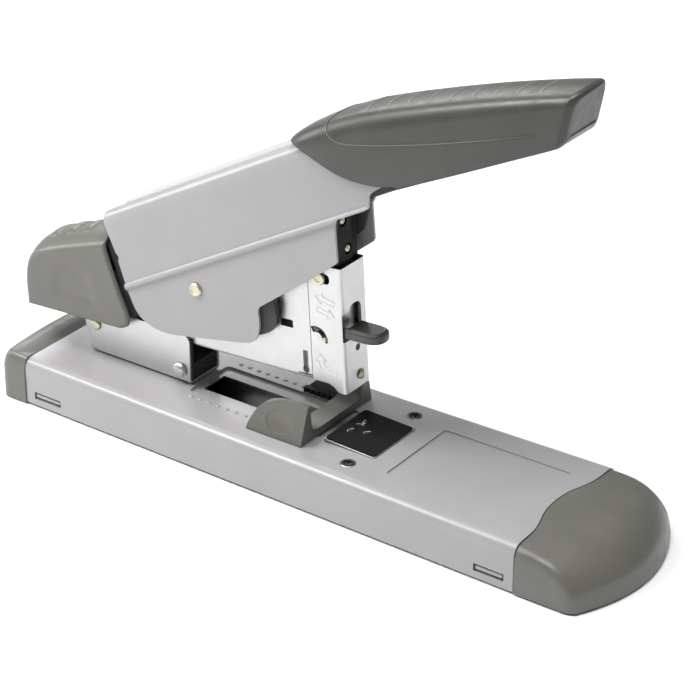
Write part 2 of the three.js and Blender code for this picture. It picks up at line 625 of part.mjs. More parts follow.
/** Rings of the grip: [u, bottom, top, half width]; each ring has square lower corners and a soft top. */
const GRIP_STATIONS = [
  [71.5, 34, 45.5, 13.4], [76, 28, 48.3, 15.2], [88, 20, 49.9, 15.8], [103, 16.5, 50.6, 16.2],
  [120, 14.6, 49.8, 16.4], [140, 13.6, 46.8, 16.3], [160, 12.4, 43.2, 16], [180, 11.4, 39.2, 15.5],
  [198, 10.4, 35, 14.9], [212, 9.8, 31.4, 14.4], [225, 9.4, 28, 13.8],
];
const GRIP_POINTS = 24;

function gripBody() {
  const rings = GRIP_STATIONS.map(([u, bottom, top, half]) => {
    const middle = bottom + (top - bottom) * 0.42;
    return Array.from({ length: GRIP_POINTS }, (_, i) => {
      const angle = (2 * Math.PI * (i + 0.5)) / GRIP_POINTS;
      const across = Math.cos(angle);
      const along = Math.sin(angle);
      const power = along > 0 ? 0.68 : 0.4;
      const y = half * Math.sign(across) * Math.abs(across) ** power;
      const reach = along > 0 ? top - middle : bottom - middle;
      return [u, y, middle + reach * Math.abs(along) ** power];
    });
  });
  const endCut = side(outline([[202.4, 5], [223.6, 30], [226, 36], [250, 36], [250, 5]]), -30, 30);
  return cut(loft(rings), endCut);
}

/** Side view of the part of the grip that is the upper inlay. */
function inlayRegion(offset) {
  const shape = new THREE.Shape();
  shape.moveTo(106 + offset, 60);
  shape.lineTo(105 + offset, 47);
  shape.quadraticCurveTo(105.5 + offset, 40.5 + offset, 115.4, 37.3 + offset);
  shape.quadraticCurveTo(150, 26.8 + offset, 230, 13.2 + offset);
  shape.lineTo(230, 60);
  shape.closePath();
  return shape;
}

function addGrip() {
  const below = side(outline([
    [60, 60], [60, 0], [128, 0], [128, 16], [118, 18.4, 5], [104.5, 25.6, 8], [88, 43, 6], [76, 52]]), -30, 30);
  const cover = section(channelSection(HANDLE.half + GAP, -60, HANDLE.top + GAP, 12, HANDLE.edge), 40, 124.3);
  const room = box(40, 128.4, 0.1 - HANDLE.half, HANDLE.half - 0.1, -60, HANDLE.top - 4);
  const blank = cut(gripBody(), cover, room, below);
  add(handle, 'grip_shell', cut(blank, side(inlayRegion(-GAP / 2), -30, 30, 8)), DARK_PLASTIC());
  add(handle, 'grip_inlay', common(blank, side(inlayRegion(GAP / 2), -30, 30, 8)), DARK_PLASTIC());
}

function addHandle() {
  add(handle, 'handle_cover', handleCover(), PAINT());
  add(handle, 'handle_frame', handleFrame(), BLACK());
  addGrip();
}

addBase();
addGuide();
addBracket();
addHead();
addDrawer();
addPusher();
addNose();
addDriver();
addHandle();

export default model;
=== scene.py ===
"""Looks for the heavy-duty stapler: camera, light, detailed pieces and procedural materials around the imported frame."""

import json
import math

import bmesh
import bpy
from mathutils import Matrix, Vector
from mathutils.bvhtree import BVHTree


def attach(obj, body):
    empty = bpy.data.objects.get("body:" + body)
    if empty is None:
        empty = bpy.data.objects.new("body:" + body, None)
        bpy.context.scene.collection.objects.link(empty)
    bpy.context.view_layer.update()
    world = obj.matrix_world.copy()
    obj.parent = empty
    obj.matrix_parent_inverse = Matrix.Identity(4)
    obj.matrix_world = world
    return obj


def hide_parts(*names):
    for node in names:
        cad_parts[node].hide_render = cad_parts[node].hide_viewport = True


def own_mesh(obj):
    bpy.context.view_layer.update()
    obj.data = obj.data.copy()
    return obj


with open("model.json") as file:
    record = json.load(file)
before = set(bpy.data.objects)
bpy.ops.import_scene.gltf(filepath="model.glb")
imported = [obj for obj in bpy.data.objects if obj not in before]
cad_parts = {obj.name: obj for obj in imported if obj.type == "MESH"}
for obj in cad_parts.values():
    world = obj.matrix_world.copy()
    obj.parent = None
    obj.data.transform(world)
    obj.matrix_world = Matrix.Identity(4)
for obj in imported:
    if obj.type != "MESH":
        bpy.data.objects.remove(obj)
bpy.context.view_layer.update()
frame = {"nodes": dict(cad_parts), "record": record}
NODES = frame["nodes"]
MM = 0.001
WELD = 1e-4  # millimetres

# ---------------- camera, floor and light
CAMERA_AZIMUTH = math.radians(35.55)
CAMERA_ELEVATION = math.radians(27.91)
CAMERA_PLACE = Vector((0.55097, -0.75372, 0.55108))
CAMERA_LENS = 127.83
WORLD_POWER = 0.22
LIGHT_TARGET = Vector((0, 0, 0.05))
FLOOR_HALF = 6
LIGHTS = (  # name, place, power, width, height
    ("key", (-0.6, -0.4, 0.86), 8.5, 0.5, 0.4),
    ("left", (-1.3, -0.3, 0.5), 5, 0.7, 0.35),
    ("back", (-1.1, 0.85, 0.75), 4.5, 0.7, 0.5),
    ("wide", (0.08, -0.12, 1.35), 17.5, 0.9, 0.7),
)


def make_camera():
    back = Vector((
        math.sin(CAMERA_AZIMUTH) * math.cos(CAMERA_ELEVATION),
        -math.cos(CAMERA_AZIMUTH) * math.cos(CAMERA_ELEVATION),
        math.sin(CAMERA_ELEVATION),
    ))
    right = Vector((math.cos(CAMERA_AZIMUTH), math.sin(CAMERA_AZIMUTH), 0))
    up = back.cross(right)
    data = bpy.data.cameras.new("camera")
    data.lens = CAMERA_LENS
    data.sensor_width = 36
    data.clip_start = 0.01
    data.clip_end = 50
    camera = bpy.data.objects.new("camera", data)
    camera.matrix_world = Matrix((
        (right.x, up.x, back.x, CAMERA_PLACE.x),
        (right.y, up.y, back.y, CAMERA_PLACE.y),
        (right.z, up.z, back.z, CAMERA_PLACE.z),
        (0, 0, 0, 1),
    ))
    bpy.context.scene.collection.objects.link(camera)
    bpy.context.scene.camera = camera


def area_light(name, place, power, size, size_y):
    """A rectangular soft box that looks at the object."""
    data = bpy.data.lights.new(name, "AREA")
    data.energy = power
    data.shape = "RECTANGLE"
    data.size = size
    data.size_y = size_y
    light = bpy.data.objects.new(name, data)
    light.location = place
    light.rotation_euler = (LIGHT_TARGET - Vector(place)).to_track_quat("-Z", "Y").to_euler()
    bpy.context.scene.collection.objects.link(light)


def make_studio():
    scene = bpy.context.scene
    scene.view_settings.view_transform = "Standard"
    world = bpy.data.worlds.new("studio")
    scene.world = world
    world.use_nodes = True
    background = world.node_tree.nodes["Background"]
    background.inputs["Color"].default_value = (0.96, 0.97, 1, 1)
    background.inputs["Strength"].default_value = WORLD_POWER
    mesh = bpy.data.meshes.new("floor")
    corners = [(x * FLOOR_HALF, y * FLOOR_HALF, 0) for x, y in ((-1, -1), (1, -1), (1, 1), (-1, 1))]
    mesh.from_pydata(corners, [], [(0, 1, 2, 3)])
    floor = bpy.data.objects.new("floor", mesh)
    scene.collection.objects.link(floor)
    material = bpy.data.materials.new("floor")
    material.use_nodes = True
    shader = material.node_tree.nodes["Principled BSDF"]
    shader.inputs["Base Color"].default_value = (0.97, 0.97, 0.97, 1)
    shader.inputs["Roughness"].default_value = 0.9
    mesh.materials.append(material)
    for light in LIGHTS:
        area_light(*light)


make_camera()
make_studio()

# ---------------- materials


class Look:
    """Builds one procedural material around a Principled shader."""

    def __init__(self, name, roughness, metallic=0.0, coat=0.0):
        self.material = bpy.data.materials.new(name)
        self.material.use_nodes = True
        self.nodes = self.material.node_tree.nodes
        self.links = self.material.node_tree.links
        self.shader = self.nodes["Principled BSDF"]
        self.shader.inputs["Roughness"].default_value = roughness
        self.shader.inputs["Metallic"].default_value = metallic
        self.shader.inputs["Coat Weight"].default_value = coat
        self.place = self.nodes.new("ShaderNodeTexCoord").outputs["Object"]

    def noise(self, scale, detail):
        node = self.nodes.new("ShaderNodeTexNoise")
        node.inputs["Scale"].default_value = scale
        node.inputs["Detail"].default_value = detail
        self.links.new(self.place, node.inputs["Vector"])
        return node.outputs["Fac"]

    def ramp(self, value, low, high, start=0.3, end=0.7):
        node = self.nodes.new("ShaderNodeMapRange")
        node.inputs["From Min"].default_value = start
        node.inputs["From Max"].default_value = end
        node.inputs["To Min"].default_value = low
        node.inputs["To Max"].default_value = high
        self.links.new(value, node.inputs["Value"])
        return node.outputs["Result"]

    def mix(self, factor, first, second):
        node = self.nodes.new("ShaderNodeMix")
        node.data_type = "RGBA"
        self.links.new(factor, node.inputs["Factor"])
        for socket, value in ((node.inputs["A"], first), (node.inputs["B"], second)):
            if isinstance(value, tuple):
                socket.default_value = (*value, 1)
            else:
                self.links.new(value, socket)
        return node.outputs["Result"]

    def color(self, output):
        self.links.new(output, self.shader.inputs["Base Color"])

    def roughness(self, output):
        self.links.new(output, self.shader.inputs["Roughness"])

    def bump(self, output, distance, strength):
        node = self.nodes.new("ShaderNodeBump")
        node.inputs["Distance"].default_value = distance
        node.inputs["Strength"].default_value = strength
        self.links.new(output, node.inputs["Height"])
        self.links.new(node.outputs["Normal"], self.shader.inputs["Normal"])

    def wear(self):
        """1 along convex edges, 0 elsewhere."""
        geometry = self.nodes.new("ShaderNodeNewGeometry")
        return self.ramp(geometry.outputs["Pointiness"], 0.0, 1.0, 0.53, 0.6)


def plastic(name, dark, light, roughness):
    """Moulded plastic: faintly mottled, with a fine grain and uneven polish."""
    look = Look(name, roughness)
    look.color(look.mix(look.ramp(look.noise(45, 2), 0.0, 1.0), dark, light))
    look.roughness(look.ramp(look.noise(260, 4), roughness - 0.06, roughness + 0.08))
    look.bump(look.noise(900, 2), 0.00002, 0.1)
    return look.material


def paint(name, dark, light):
    """Sprayed enamel: even, with a faint orange peel."""
    look = Look(name, 0.34, 0.0, 0.35)
    look.shader.inputs["Coat Roughness"].default_value = 0.22
    look.color(look.mix(look.ramp(look.noise(30, 2), 0.0, 1.0), dark, light))
    look.roughness(look.ramp(look.noise(160, 3), 0.3, 0.38))
    look.bump(look.noise(260, 1), 0.00003, 0.12)
    return look.material


def metal(name, dark, light, low, high):
    """Bare or plated metal whose polish varies a little."""
    look = Look(name, (low + high) / 2, 1.0)
    look.color(look.mix(look.ramp(look.noise(60, 3), 0.0, 1.0), dark, light))
    look.roughness(look.ramp(look.noise(400, 3), low, high))
    look.bump(look.noise(1200, 2), 0.00001, 0.1)
    return look.material


def black_finish(name, edge=0.07):
    """Black oxide and enamel, worn bright along the edges."""
    look = Look(name, 0.35)
    look.shader.inputs["Specular IOR Level"].default_value = 0.05
    grain = look.mix(look.ramp(look.noise(120, 3), 0.0, 1.0), (0.006, 0.006, 0.007), (0.012, 0.012, 0.012))
    look.color(look.mix(look.wear(), grain, (edge, edge, edge)))
    look.roughness(look.ramp(look.noise(350, 3), 0.34, 0.46))
    look.bump(look.noise(1500, 2), 0.00002, 0.4)
    return look.material


LOOKS = {
    "grey_paint": paint("grey_paint", (0.31, 0.301, 0.307), (0.33, 0.321, 0.327)),
    "dark_plastic": plastic("dark_plastic", (0.118, 0.116, 0.102), (0.135, 0.132, 0.116), 0.34),
    "grip_plastic": plastic("grip_plastic", (0.046, 0.045, 0.04), (0.055, 0.053, 0.047), 0.32),
    "grip_soft": plastic("grip_soft", (0.046, 0.045, 0.04), (0.056, 0.054, 0.048), 0.35),
    "nickel": metal("nickel", (0.56, 0.56, 0.558), (0.59, 0.59, 0.587), 0.38, 0.46),
    "brass_plate": metal("brass_plate", (0.5, 0.46, 0.34), (0.6, 0.565, 0.44), 0.34, 0.46),
    "black_steel": black_finish("black_steel"),
    "plain_steel": metal("plain_steel", (0.3, 0.29, 0.28), (0.38, 0.37, 0.36), 0.3, 0.42),
    "rubber": plastic("rubber", (0.02, 0.02, 0.02), (0.032, 0.032, 0.032), 0.8),
}
BLACK_FLAT = black_finish("black_flat", 0.012)
SLOT_OF = {subpart["node"]: subpart["material_slot"] for subpart in frame["record"]["subparts"]}
BODY_OF = {}
for body_name, members in frame["record"]["behaviour"]["bodies"].items():
    for member in members:
        BODY_OF[member] = body_name
for node_name, node in NODES.items():
    node.data.materials.clear()
    node.data.materials.append(LOOKS[SLOT_OF[node_name]])

# ---------------- shape tools (millimetres, in a local frame)


def placed(place, angle, axis="Z"):
    """Turned by angle about an axis, then moved to place."""
    return Matrix.Translation(place) @ Matrix.Rotation(angle, 4, axis)


HEAD_PIVOT = (-120.6, 37)
HANDLE_PIVOT = (-59, 73.8)
WORLD = Matrix.Identity(4)
HEAD = placed((HEAD_PIVOT[0], 0, HEAD_PIVOT[1]), -math.radians(3.1), "Y")
HANDLE = placed((HANDLE_PIVOT[0], 0, HANDLE_PIVOT[1]), -math.radians(29), "Y")
PIVOT_U, _, PIVOT_V = HEAD.inverted() @ Vector((HANDLE_PIVOT[0], 0, HANDLE_PIVOT[1]))
PLANES = {  # plane coordinates and the coordinate across them, as x, y, z
    "side": lambda a, b, c: (a, c, b),
    "plan": lambda a, b, c: (a, b, c),
    "section": lambda a, b, c: (c, a, b),
}


def solid(bm):
    bmesh.ops.recalc_face_normals(bm, faces=bm.faces)
    mesh = bpy.data.meshes.new("work")
    bm.to_mesh(mesh)
    bm.free()
    obj = bpy.data.objects.new("work", mesh)
    bpy.context.scene.collection.objects.link(obj)
    return obj


def rounded(corners, segments=6):
    """Closed outline through (x, y, setback) corners, each rounded over its setback."""
    points = []
    for i, corner in enumerate(corners):
        here = Vector(corner[:2])
        setback = corner[2] if len(corner) > 2 else 0
        if not setback:
            points.append(here)
            continue
        ends = []
        for other in (corners[i - 1], corners[(i + 1) % len(corners)]):
            side = Vector(other[:2]) - here
            ends.append(here + side * min(setback / side.length, 0.47))
        for k in range(segments + 1):
            t = k / segments
            points.append(ends[0] * (1 - t) ** 2 + here * (2 * t * (1 - t)) + ends[1] * t * t)
    return points


def bezier(points, steps):
    """Points along a quadratic or cubic curve, without its first point."""
    result = []
    for k in range(1, steps + 1):
        t = k / steps
        level = [Vector(p) for p in points]
        while len(level) > 1:
            level = [a.lerp(b, t) for a, b in zip(level, level[1:])]
        result.append(level[0])
    return result


def spline(rows, steps):
    """Rows of numbers joined by smooth curves through each of them."""
    result = []
    for i in range(len(rows) - 1):
        a, b = rows[i], rows[i + 1]
        before = rows[max(i - 1, 0)]
        after = rows[min(i + 2, len(rows) - 1)]
        for k in range(steps):
            t = k / steps
            row = []
            for p, q, r, s in zip(before, a, b, after):
                row.append(0.5 * (2 * q + (r - p) * t + (2 * p - 5 * q + 4 * r - s) * t * t
                                  + (3 * q - p - 3 * r + s) * t ** 3))
            result.append(row)
    result.append(list(rows[-1]))
    return result


def rectangle(x0, y0, x1, y1, setback=0.0):
    return rounded([(x0, y0, setback), (x1, y0, setback), (x1, y1, setback), (x0, y1, setback)])


def full_turn(count):
    """Evenly spaced angles round a circle."""
    return [2 * math.pi * k / count for k in range(count)]


def ring(x, y, radius, segments=32, other=None):
    """A circle, or an ellipse with its other radius."""
    other = other or radius
    return [Vector((x + radius * math.cos(a), y + other * math.sin(a))) for a in full_turn(segments)]


def prism(points, plane, low, high):
    place = PLANES[plane]
    bm = bmesh.new()
    ends = [[bm.verts.new(place(p[0], p[1], c)) for p in points] for c in (low, high)]
    bm.faces.new(ends[0])
    bm.faces.new(ends[1])
    count = len(points)
    for i in range(count):
        j = (i + 1) % count
        bm.faces.new((ends[0][i], ends[0][j], ends[1][j], ends[1][i]))
    return solid(bm)


def across(points, reach=20):
    """An outline seen from the side, run through to both sides."""
    return prism(points, "side", -reach, reach)


def box(x0, x1, y0, y1, z0, z1):
    return prism(rectangle(x0, y0, x1, y1), "plan", z0, z1)


def loft(rings):
    """A solid through rings of equally many points, capped at both ends."""
    bm = bmesh.new()
    rows = [[bm.verts.new(p) for p in points] for points in rings]
    count = len(rows[0])
    for a, b in zip(rows, rows[1:]):
        for i in range(count):
            j = (i + 1) % count
            bm.faces.new((a[i], a[j], b[j], b[i]))
    bm.faces.new(rows[0])
    bm.faces.new(rows[-1])
    return solid(bm)


def turned(x, z, profile, segments=48):
    """A solid turned about the Y direction through (x, z), from (radius, y) points off the axis."""
    return loft([[(p.x, y, p.y) for p in ring(x, z, radius, segments)] for radius, y in profile])


def both_ends(half):
    """A turned profile from (radius, y) points at its -y end and the same points at its +y end."""
    return half + [(radius, -y) for radius, y in reversed(half)]


def along_x(profile, place, segments=48):
    """A solid turned about the X direction at place, from (radius, -x) points off the axis."""
    return turn(turned(0, 0, profile, segments), placed(place, math.pi / 2))


def ball(segments, rings, radius, place, scale):
    bm = bmesh.new()
    bmesh.ops.create_uvsphere(bm, u_segments=segments, v_segments=rings, radius=radius)
    matrix = Matrix.Translation(place) @ Matrix.Diagonal((*scale, 1))
    bmesh.ops.transform(bm, matrix=matrix, verts=bm.verts)
    return solid(bm)


def turn(obj, matrix):
    obj.data.transform(matrix)
    return obj


def apply_modifiers(obj):
    graph = bpy.context.evaluated_depsgraph_get()
    mesh = bpy.data.meshes.new_from_object(obj.evaluated_get(graph))
    obj.modifiers.clear()
    obj.data = mesh
    return obj


def combine(body, operation, tools):
    for tool in tools:
        modifier = body.modifiers.new("combine", "BOOLEAN")
        modifier.operation = operation
        modifier.solver = "EXACT"
        modifier.object = tool
    apply_modifiers(body)
    for tool in tools:
        bpy.data.objects.remove(tool)
    return body


def cut(body, *tools):
    return combine(body, "DIFFERENCE", tools)


def join(body, *tools):
    return combine(body, "UNION", tools)


def common(body, *tools):
    return combine(body, "INTERSECT", tools)


def merge(objects):
    """Several separate solids as one object."""
    bm = bmesh.new()
    for obj in objects:
        bm.from_mesh(obj.data)
        bpy.data.objects.remove(obj)
    return solid(bm)


def piece(obj, name, place, replaces, bevel=0.3, angle=35, segments=2, body=None, slot=None, sharp=50):
    """Softens a solid's edges, puts it in the world frame in metres, and hands it to its body."""
    bm = bmesh.new()
    bm.from_mesh(obj.data)
    bmesh.ops.remove_doubles(bm, verts=bm.verts, dist=WELD)
    bmesh.ops.dissolve_degenerate(bm, edges=bm.edges, dist=WELD)
    bm.to_mesh(obj.data)
    bm.free()
    if bevel:
        modifier = obj.modifiers.new("edge", "BEVEL")
        modifier.width = bevel
        modifier.segments = segments
        modifier.limit_method = "ANGLE"
        modifier.angle_limit = math.radians(angle)
        modifier.use_clamp_overlap = True
        modifier.miter_outer = "MITER_ARC"
        apply_modifiers(obj)
    obj.data.transform(Matrix.Scale(MM, 4) @ place)
    for polygon in obj.data.polygons:
        polygon.use_smooth = True
    obj.data.set_sharp_from_angle(angle=math.radians(sharp))
    modifier = obj.modifiers.new("shade", "WEIGHTED_NORMAL")
    modifier.keep_sharp = True
    modifier.weight = 80
    apply_modifiers(obj)
    obj.name = name
    obj.data.name = name
    nodes = [replaces] if isinstance(replaces, str) else list(replaces)
    slot = slot or SLOT_OF[nodes[0]]
    obj.data.materials.clear()
    obj.data.materials.append(LOOKS[slot])
    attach(obj, body or BODY_OF[nodes[0]])
    if nodes:
        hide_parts(*nodes)
    return obj


def refined(node_name, bevel):
    """A CAD node's own shape with its edges softened."""
    obj = bpy.data.objects.new("work", NODES[node_name].data.copy())
    bpy.context.scene.collection.objects.link(obj)
    obj.data.transform(Matrix.Scale(1 / MM, 4))
    bm = bmesh.new()
    bm.from_mesh(obj.data)
    bmesh.ops.remove_doubles(bm, verts=bm.verts, dist=1e-3)
    bmesh.ops.dissolve_limit(bm, angle_limit=math.radians(1), verts=bm.verts, edges=bm.edges)
    bm.to_mesh(obj.data)
    bm.free()
    piece(obj, node_name + "_shape", WORLD, node_name, bevel, 40)


# ---------------- base
COVER_REAR, COVER_FRONT = -143, 120.6
COVER_TOP, COVER_BOTTOM = 22.6, 1.2
HALF_REAR, HALF_FRONT = 35, 39.6
SEAM_BOW = 5.2
GAP = 0.3
WINDOWS = ((-138, -122.3), (101.2, 115.8))
SCREW_X, SCREW_Y = 29, 24.7
DIES = ((15.1, -3.3, 1.2), (16.2, 5.7, 1.9), (15.8, 2.6, 0.3), (21.8, -0.7, 1.0))  # x, y, turn


def half_width(x):
    """Half the width of the cover, which widens towards the front."""
    return HALF_REAR + (HALF_FRONT - HALF_REAR) * ((x - COVER_REAR) / (COVER_FRONT - COVER_REAR))


def taper(obj):
    for vertex in obj.data.vertices:
        vertex.co.y *= half_width(vertex.co.x) / HALF_FRONT
    return obj


def channel(half, mouth, web, sheet, edge, segments=8):
    """Section of a sheet channel: its mouth and its web are heights, either of them on top."""
    inside = web - math.copysign(sheet, web - mouth)
    return rounded([
        (-half, mouth), (-half, web, edge), (half, web, edge), (half, mouth),
        (half - sheet, mouth), (half - sheet, inside, edge - sheet),
        (sheet - half, inside, edge - sheet), (sheet - half, mouth)], segments)


def ahead_of_seam(offset, low, high):
    """Everything in front of the bowed seam between the cover and the nose cap."""
    x = COVER_FRONT + offset
    points = [Vector((x, -60)), Vector((x, -30))]
    points += bezier([(x, -30), (x, -15), (x - SEAM_BOW, -15), (x - SEAM_BOW, 0)], 16)
    points += bezier([(x - SEAM_BOW, 0), (x - SEAM_BOW, 15), (x, 15), (x, 30)], 16)
    points += [Vector((x, 60)), Vector((400, 60)), Vector((400, -60))]
    return prism(points, "plan", low, high)


def make_base_cover():
    shell = taper(prism(channel(HALF_FRONT, COVER_BOTTOM, COVER_TOP, 1.5, 6, 10), "section", COVER_REAR, COVER_FRONT))
    join(shell, prism(rectangle(-66.5, -15.5, 9, 15.5, 2), "plan", 20.75, 22))
    tools = [
        ahead_of_seam(-GAP, -10, 40),
        prism(rectangle(-65, -14, 8.4, 14, 2.5), "plan", 21.4, 30),
        prism(rectangle(-62, -7.4, 4, 7.4, 1), "plan", 10, 30),
        prism(rectangle(9.1, -15.8, 36.3, 15.8, 2.4), "plan", 10, 30),
        prism(rectangle(46.5, -22.5, 110, 22.5, 2), "plan", COVER_TOP - 0.55, 30),
    ]
    tools += [box(x0, x1, -50, 50, 4.2, 7.8) for x0, x1 in WINDOWS]
    tools += [prism(ring(SCREW_X, y, 3.5), "plan", 10, 30) for y in (-SCREW_Y, SCREW_Y)]
    cut(shell, *tools)
    piece(shell, "base_cover_shell", WORLD, "base_cover", 0.28)
    bars = []
    for x0, x1 in WINDOWS:
        depth = half_width((x0 + x1) / 2)
        for way in (-1, 1):
            bars.append(box(x0 + 0.9, x1 - 0.9, *sorted((way * (depth - 3), way * (depth - 0.45))), 5.2, 6.9))
    piece(merge(bars), "base_window_bars", WORLD, (), 0.15, body="base", slot="grey_paint")
    marks = []
    for i in range(13):
        for y in (-18, 18):
            marks.append(ball(16, 10, 1, (-60.5 + 5 * i, y, COVER_TOP - 0.05), (1.2, 1, 0.6)))
    piece(merge(marks), "scale_marks", WORLD, (), 0, body="base", slot="grey_paint")


def cap_rings(plan, profile, wall=0.0):
    """Outlines of a cap, one for each (side inset, end inset, height) of its profile."""
    return [[(p.x, p.y, z - wall) for p in plan(sides + wall, end + wall)] for sides, end, z in profile]


def nose_plan(sides, end):
    half, tip = 40.1 - sides, 160 - end
    corner = tip - 10
    points = [Vector((100, -half)), Vector((corner - 7, -half))]
    points += bezier([(corner - 7, -half), (corner - 1.5, -half), (corner, 4 - half)], 8)
    points += bezier([(corner, 4 - half), (tip + 10, 0), (corner, half - 4)], 40)
    points += bezier([(corner, half - 4), (corner - 1.5, half), (corner - 7, half)], 8)
    return points + [Vector((100, half))]


def rear_plan(sides, end):
    half, tip = 35.6 - sides, -160 + end
    corner = tip + 1.8
    points = [Vector((-120, half)), Vector((corner + 5, half))]
    points += bezier([(corner + 5, half), (corner + 0.3, half), (corner, half - 4.5)], 8)
    points += bezier([(corner, half - 4.5), (tip - 1.8, 0), (corner, 4.5 - half)], 24)
    points += bezier([(corner, 4.5 - half), (corner + 0.3, -half), (corner + 5, -half)], 8)
    return points + [Vector((-120, -half))]


NOSE_PROFILE = [
    (0.25, 0.3, 0.8), (0, 0, 1.3), (0, 0.1, 3), (0, 1.7, 9), (0.1, 4.2, 12.8), (0.3, 8.2, 16.4), (1.1, 13, 19.2),
    (2.6, 18.5, 20.9), (4.6, 25, 21.9), (7.5, 32, 22.45), (11, 39, COVER_TOP)]
REAR_PROFILE = [
    (0.25, 0.25, 0.8), (0, 0, 1.3), (0, 0, 14), (0.3, 0.5, 17.6), (1.1, 1.5, 20.3), (2.4, 3.0, 21.8),
    (4, 5, COVER_TOP - 0.3), (6, 8, COVER_TOP)]
CAP_WALL = 2.2
CAP_FIT = (0.9992, 0.9988, 1, 1)


def make_cap(name, node_name, plan, profile, limit, seam, crown):
    """A hollow end cap, closed over towards its seam and crowned on top."""
    rings = cap_rings(plan, spline(profile, 6))
    centre = Vector((seam - math.copysign(20, seam), 0))
    for s in (0.97, 0.9, 0.82, 0.74, 0.66, 0.58, 0.5, 0.4, 0.3, 0.2, 0.1):
        rings.append([(*(centre + (Vector((x, y)) - centre) * s), z) for x, y, z in cap_rings(plan, profile[-1:])[0]])
    reach = abs(max((p.x for p in plan(0, 0)), key=abs) - seam)
    for row in rings:
        for i, (x, y, z) in enumerate(row):
            share = max(0.0, min(1.0, (abs(x) - abs(seam)) / reach))
            lift = crown * math.sin(math.pi / 2 * min(1.0, share * 1.6)) * max(0.0, min(1.0, (z - 12) / 10))
            row[i] = (x, y, z + lift)
    outer = loft(rings)
    inner = loft(cap_rings(plan, [(s, e, z if i else -6) for i, (s, e, z) in enumerate(profile[1:])], CAP_WALL))
    cut(outer, inner)
    common(outer, limit)
    turn(outer, Matrix.Diagonal(CAP_FIT))
    piece(outer, name, WORLD, node_name, 0.35, 50, sharp=40)


def make_screw(name, node_name, x, y):
    """A countersunk cross-head screw, and a black toothed ring in its head's recess: painted shade for the dark
    recess.
    """
    top = COVER_TOP - 0.1
    turned_by = 0.5
    profile = ((1.5, 8), (1.5, 19.6), (3.2, 21), (3.2, top), (2.95, top + 0.2), (2.55, top + 0.2), (2.2, top - 0.5),
               (1.2, top - 0.9))
    head = loft([[(*p, z) for p in ring(x, y, radius, 40)] for radius, z in profile])
    cut(head, *[turn(box(-2.1, 2.1, -0.42, 0.42, top - 2, 30), placed((x, y, 0), angle))
                for angle in (turned_by, turned_by + math.pi / 2)])
    piece(head, name, WORLD, node_name, 0.08)
    # The black ring and teeth in the recess are painted shade.
    well = prism(ring(x, y, 2.75), "plan", top - 0.2, top + 0.27)
    cut(well, prism(ring(x, y, 1.75), "plan", 0, 40))
    teeth = [turn(box(1.3, 2.2, -0.3, 0.3, top - 0.2, top + 0.25), placed((x, y, 0), turned_by + k * math.pi / 2))
             for k in range(4)]
    piece(join(well, merge(teeth)), name + "_well", WORLD, (), 0.05, body="base", slot="black_steel")


def anvil_top(x):
    return 24.4 + (x - 4.4) * (23 - 24.4) / (41 - 4.4)


def anvil_slab(outline, bottom, drop):
    """An outline in plan cut to the slope of the anvil, lowered by drop."""
    wedge = prism([(4.4, bottom), (41, bottom - 1.4), (41, 23), (4.4, 24.4)], "side", -30, 30)
    return common(prism(outline, "plan", 15, 30), turn(wedge, Matrix.Translation((0, 0, -drop))))


def make_anvil():
    edge = anvil_slab(rectangle(9.4, -15.5, 36, 15.5, 2.2), 21.8, 0.4)
    piece(edge, "anvil_edge", WORLD, (), 0.25, body="base", slot="nickel")
    body = anvil_slab(rectangle(9.95, -14.95, 35.45, 14.95, 1.8), 22.6, 0)
    grooves, lips = [], []
    for x, y, turned_by in DIES:
        place = placed((x, y, anvil_top(x)), turned_by)
        groove = loft([[(*p, z) for p in ring(0, 0, 1.5 * s, 24, 0.65 * s)]
                       for s, z in ((0.3, -0.7), (0.8, -0.45), (1, 0), (1, 3))])
        grooves.append(turn(groove, place))
        rows = []
        for k in range(25):
            a = math.radians(-20 + 220 * k / 24)
            centre = Vector((1.6 * math.cos(a), 0.78 * math.sin(a), 0))
            out = Vector((math.cos(a), math.sin(a), 0))
            rows.append([centre + out * p.x + Vector((0, 0, p.y)) for p in ring(0, 0, 0.27, 8)])
        lips.append(turn(loft(rows), place))
    cut(body, *grooves)
    plate = piece(body, "anvil_body", WORLD, "anvil_plate", 0.2, sharp=8)
    plate.data.materials[0] = BLACK_FLAT
    piece(merge(lips), "anvil_die_lips", WORLD, (), 0, body="base", slot="nickel", sharp=60)


def make_base():
    make_base_cover()
    make_cap("nose_cap_shell", "nose_cap", nose_plan, NOSE_PROFILE, ahead_of_seam(GAP, -10, 40), COVER_FRONT, 0)
    behind_seam = box(-200, COVER_REAR - GAP, -60, 60, -20, 60)
    make_cap("rear_cap_shell", "rear_cap", rear_plan, REAR_PROFILE, behind_seam, COVER_REAR, 1.6)
    make_screw("base_screw_near_head", "base_screw_near", SCREW_X, -SCREW_Y)
    make_screw("base_screw_far_head", "base_screw_far", SCREW_X, SCREW_Y)
    make_anvil()
    for node_name in ("bottom_plate", "anvil_carrier", "guide_rail"):
        refined(node_name, 0.15)
    for place in ("rear_near", "rear_far", "front_near", "front_far"):
        refined("foot_" + place, 0.4)


# ---------------- paper guide
def dimple(x, z, y_face, half_length, half_height, depth):
    """A shallow oval bowl to sink in a face that looks along -y."""
    radius = 24
    reach = math.sqrt(2 * radius * depth - depth * depth)
    return ball(64, 64, radius, (x, y_face - (radius - depth), z), (half_length / reach, 1, half_height / reach))


